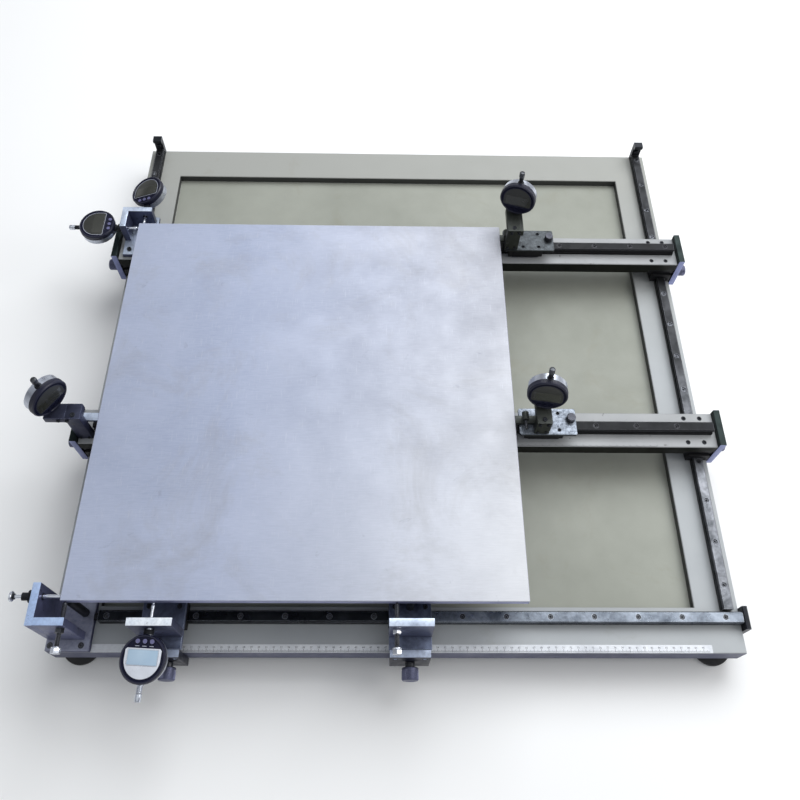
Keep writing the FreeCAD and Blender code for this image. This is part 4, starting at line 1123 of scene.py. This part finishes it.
def plunger():
    """The spring plunger at the corner: bright pin and cap, dark neck; it runs along x."""
    for part, material, profile, segments in (
            ("pin", "bright", [(0, -23.5), (2.5, -23.5), (2.5, 34.7), (1.6, 35.4), (0, 35.7)], 32),
            ("cap", "bright", [(0, -30), (5.8, -30), (6.6, -29.2), (6.6, -27.0), (5.8, -26.2),
                               (0, -26.2)], 40),
            ("neck", "dark", [(0, -26.3), (3.6, -26.3), (3.6, -23.4), (0, -23.4)], 32)):
        piece = add_piece(f"corner_plunger_{part}", lathe(profile, segments), "plunger", material,
                          along_x(0, 52, TOUCH_HEIGHT))
        if part == "pin":
            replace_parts(piece, "corner_plunger")


def table_details():
    box_piece("corner_wall_left", "table", (2, WALL_FRONT, 10), (12, 66, WALL_TOP), "corner", 0.8)
    wall = plate("corner_wall_front", "table", "front", rectangle(12, 10, 50, WALL_TOP),
                 WALL_FRONT, WALL_THICK,
                 [circle_points(STOP_HOLE, (CORNER_STOP_X, TOUCH_HEIGHT), 32)], "corner")
    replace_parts(wall, "corner_walls")
    stop_screw("corner_stop_screw", CORNER_STOP_X, "corner_stop")
    plunger()
    ruler_marks()


def feet():
    for side in ("front_left", "front_right", "rear_left", "rear_right"):
        node, body = f"levelling_foot_{side}", f"foot_{side}"
        low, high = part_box(node)
        centre = Vector(((low.x + high.x) / 2, (low.y + high.y) / 2, 0))
        place = Matrix.Translation(centre) @ Matrix.Scale(0.001, 4)
        pad = lathe([(0, 0), (24.0, 0), (26.2, 0.8), (27.0, 2.6), (27.0, 7.0), (25.6, 8.6),
                     (20.0, 10.6), (17.0, 12.0), (0, 12.0)], 72)
        piece = add_piece(f"foot_pad_{side}", pad, body, "rubber", place)
        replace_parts(piece, node)
        stud = lathe([(0, 11.8), (8.5, 11.8), (8.5, 13.0),
                      *thread_profile(6.0, 13.4, 42, 1.5, 0.7), (0, 42)], 32)
        add_piece(f"foot_stud_{side}", stud, body, "screw", place)


# ---------------------------------------------------------------- stage
CAMERA_AT = (-0.0023, -0.6122, 1.2762)
CAMERA_PITCH, CAMERA_YAW, CAMERA_ROLL = 56.706, 1.967, -2.217
CAMERA_LENS, CAMERA_SHIFT = 37.75, -0.15

FLOOR_HALF = 9
SKY_STRENGTH = 0.74
HORIZON = (0.80, 0.81, 0.83)
DIM_SKY = (0.12, 0.125, 0.15)
HIGH_SKY = (0.95, 0.98, 1.0)


def camera():
    """It faces the back, turned by the yaw, tipped down by the pitch and rolled on its axis."""
    turn = Matrix.Identity(4)
    for angle, axis in ((-CAMERA_YAW, "Z"), (90 - CAMERA_PITCH, "X"), (-CAMERA_ROLL, "Z")):
        turn @= Matrix.Rotation(math.radians(angle), 4, axis)
    view = bpy.data.cameras.new("camera")
    view.lens = CAMERA_LENS
    view.sensor_width = 36.0
    view.shift_y = CAMERA_SHIFT
    view.clip_start = 0.01
    item = bpy.data.objects.new("camera", view)
    item.matrix_world = Matrix.Translation(CAMERA_AT) @ turn
    bpy.context.scene.collection.objects.link(item)
    bpy.context.scene.camera = item


def area_light(name, place, target, size, power, colour):
    light = bpy.data.lights.new(name, "AREA")
    light.shape = "RECTANGLE"
    light.size, light.size_y = size
    light.energy = power
    light.color = colour
    item = bpy.data.objects.new(name, light)
    item.location = place
    item.rotation_euler = (Vector(target) - Vector(place)).to_track_quat("-Z", "Y").to_euler()
    bpy.context.scene.collection.objects.link(item)


def studio():
    build = bmesh.new()
    build.faces.new([build.verts.new((x, y, 0))
                     for x, y in rectangle(-FLOOR_HALF, -FLOOR_HALF, FLOOR_HALF, FLOOR_HALF)])
    floor = bpy.data.objects.new("floor", finished(build))
    bpy.context.scene.collection.objects.link(floor)
    s = Surface("studio_floor", roughness=0.7)
    s.colour(s.ramp(s.noise(1.5, 3.0), (0.3, 0.86), (0.7, 0.88)))
    floor.data.materials.append(s.material)
    world = bpy.data.worlds.new("studio")
    world.use_nodes = True
    tree = world.node_tree
    sky = new_node(tree, "TexCoord")
    split = new_node(tree, "SeparateXYZ")
    ramp = ramp_node(tree, ((0.0, HORIZON), (0.22, HORIZON), (0.34, DIM_SKY), (0.95, HIGH_SKY)))
    background = tree.nodes["Background"]
    background.inputs["Strength"].default_value = SKY_STRENGTH
    tree.links.new(sky.outputs["Generated"], split.inputs["Vector"])
    tree.links.new(split.outputs["Z"], ramp.inputs["Fac"])
    tree.links.new(ramp.outputs["Color"], background.inputs["Color"])
    bpy.context.scene.world = world
    area_light("sky", (0.9, 1.5, 2.4), (0.1, 0.1, 0), (2.6, 2.0), 82, (0.96, 0.98, 1.0))
    area_light("side", (2.2, -0.2, 1.8), (0, 0, 0), (1.4, 1.4), 20, (1.0, 0.98, 0.95))
    bpy.context.scene.view_settings.view_transform = "Standard"


def build_model():
    paint_cad_nodes()
    table_details()
    feet()
    front_bracket("left", 127, 162)
    front_bracket("right", 455, 484, RIGHT_STOP_X)
    stop_screw("right_stop_screw", RIGHT_STOP_X, "right_stop")
    lock_nut("right_lock_nut", RIGHT_STOP_X, "right_bracket")
    support_post("right_support_post", "right_bracket", 483.5, 52, SHELF_TOP)
    stem_collars("front", (28.6, 34.4), (45.6, 46.8))
    beams()
    for name in MIDDLES:
        indicator(name)
        spindle(name)
    studio()
    camera()


build_model()
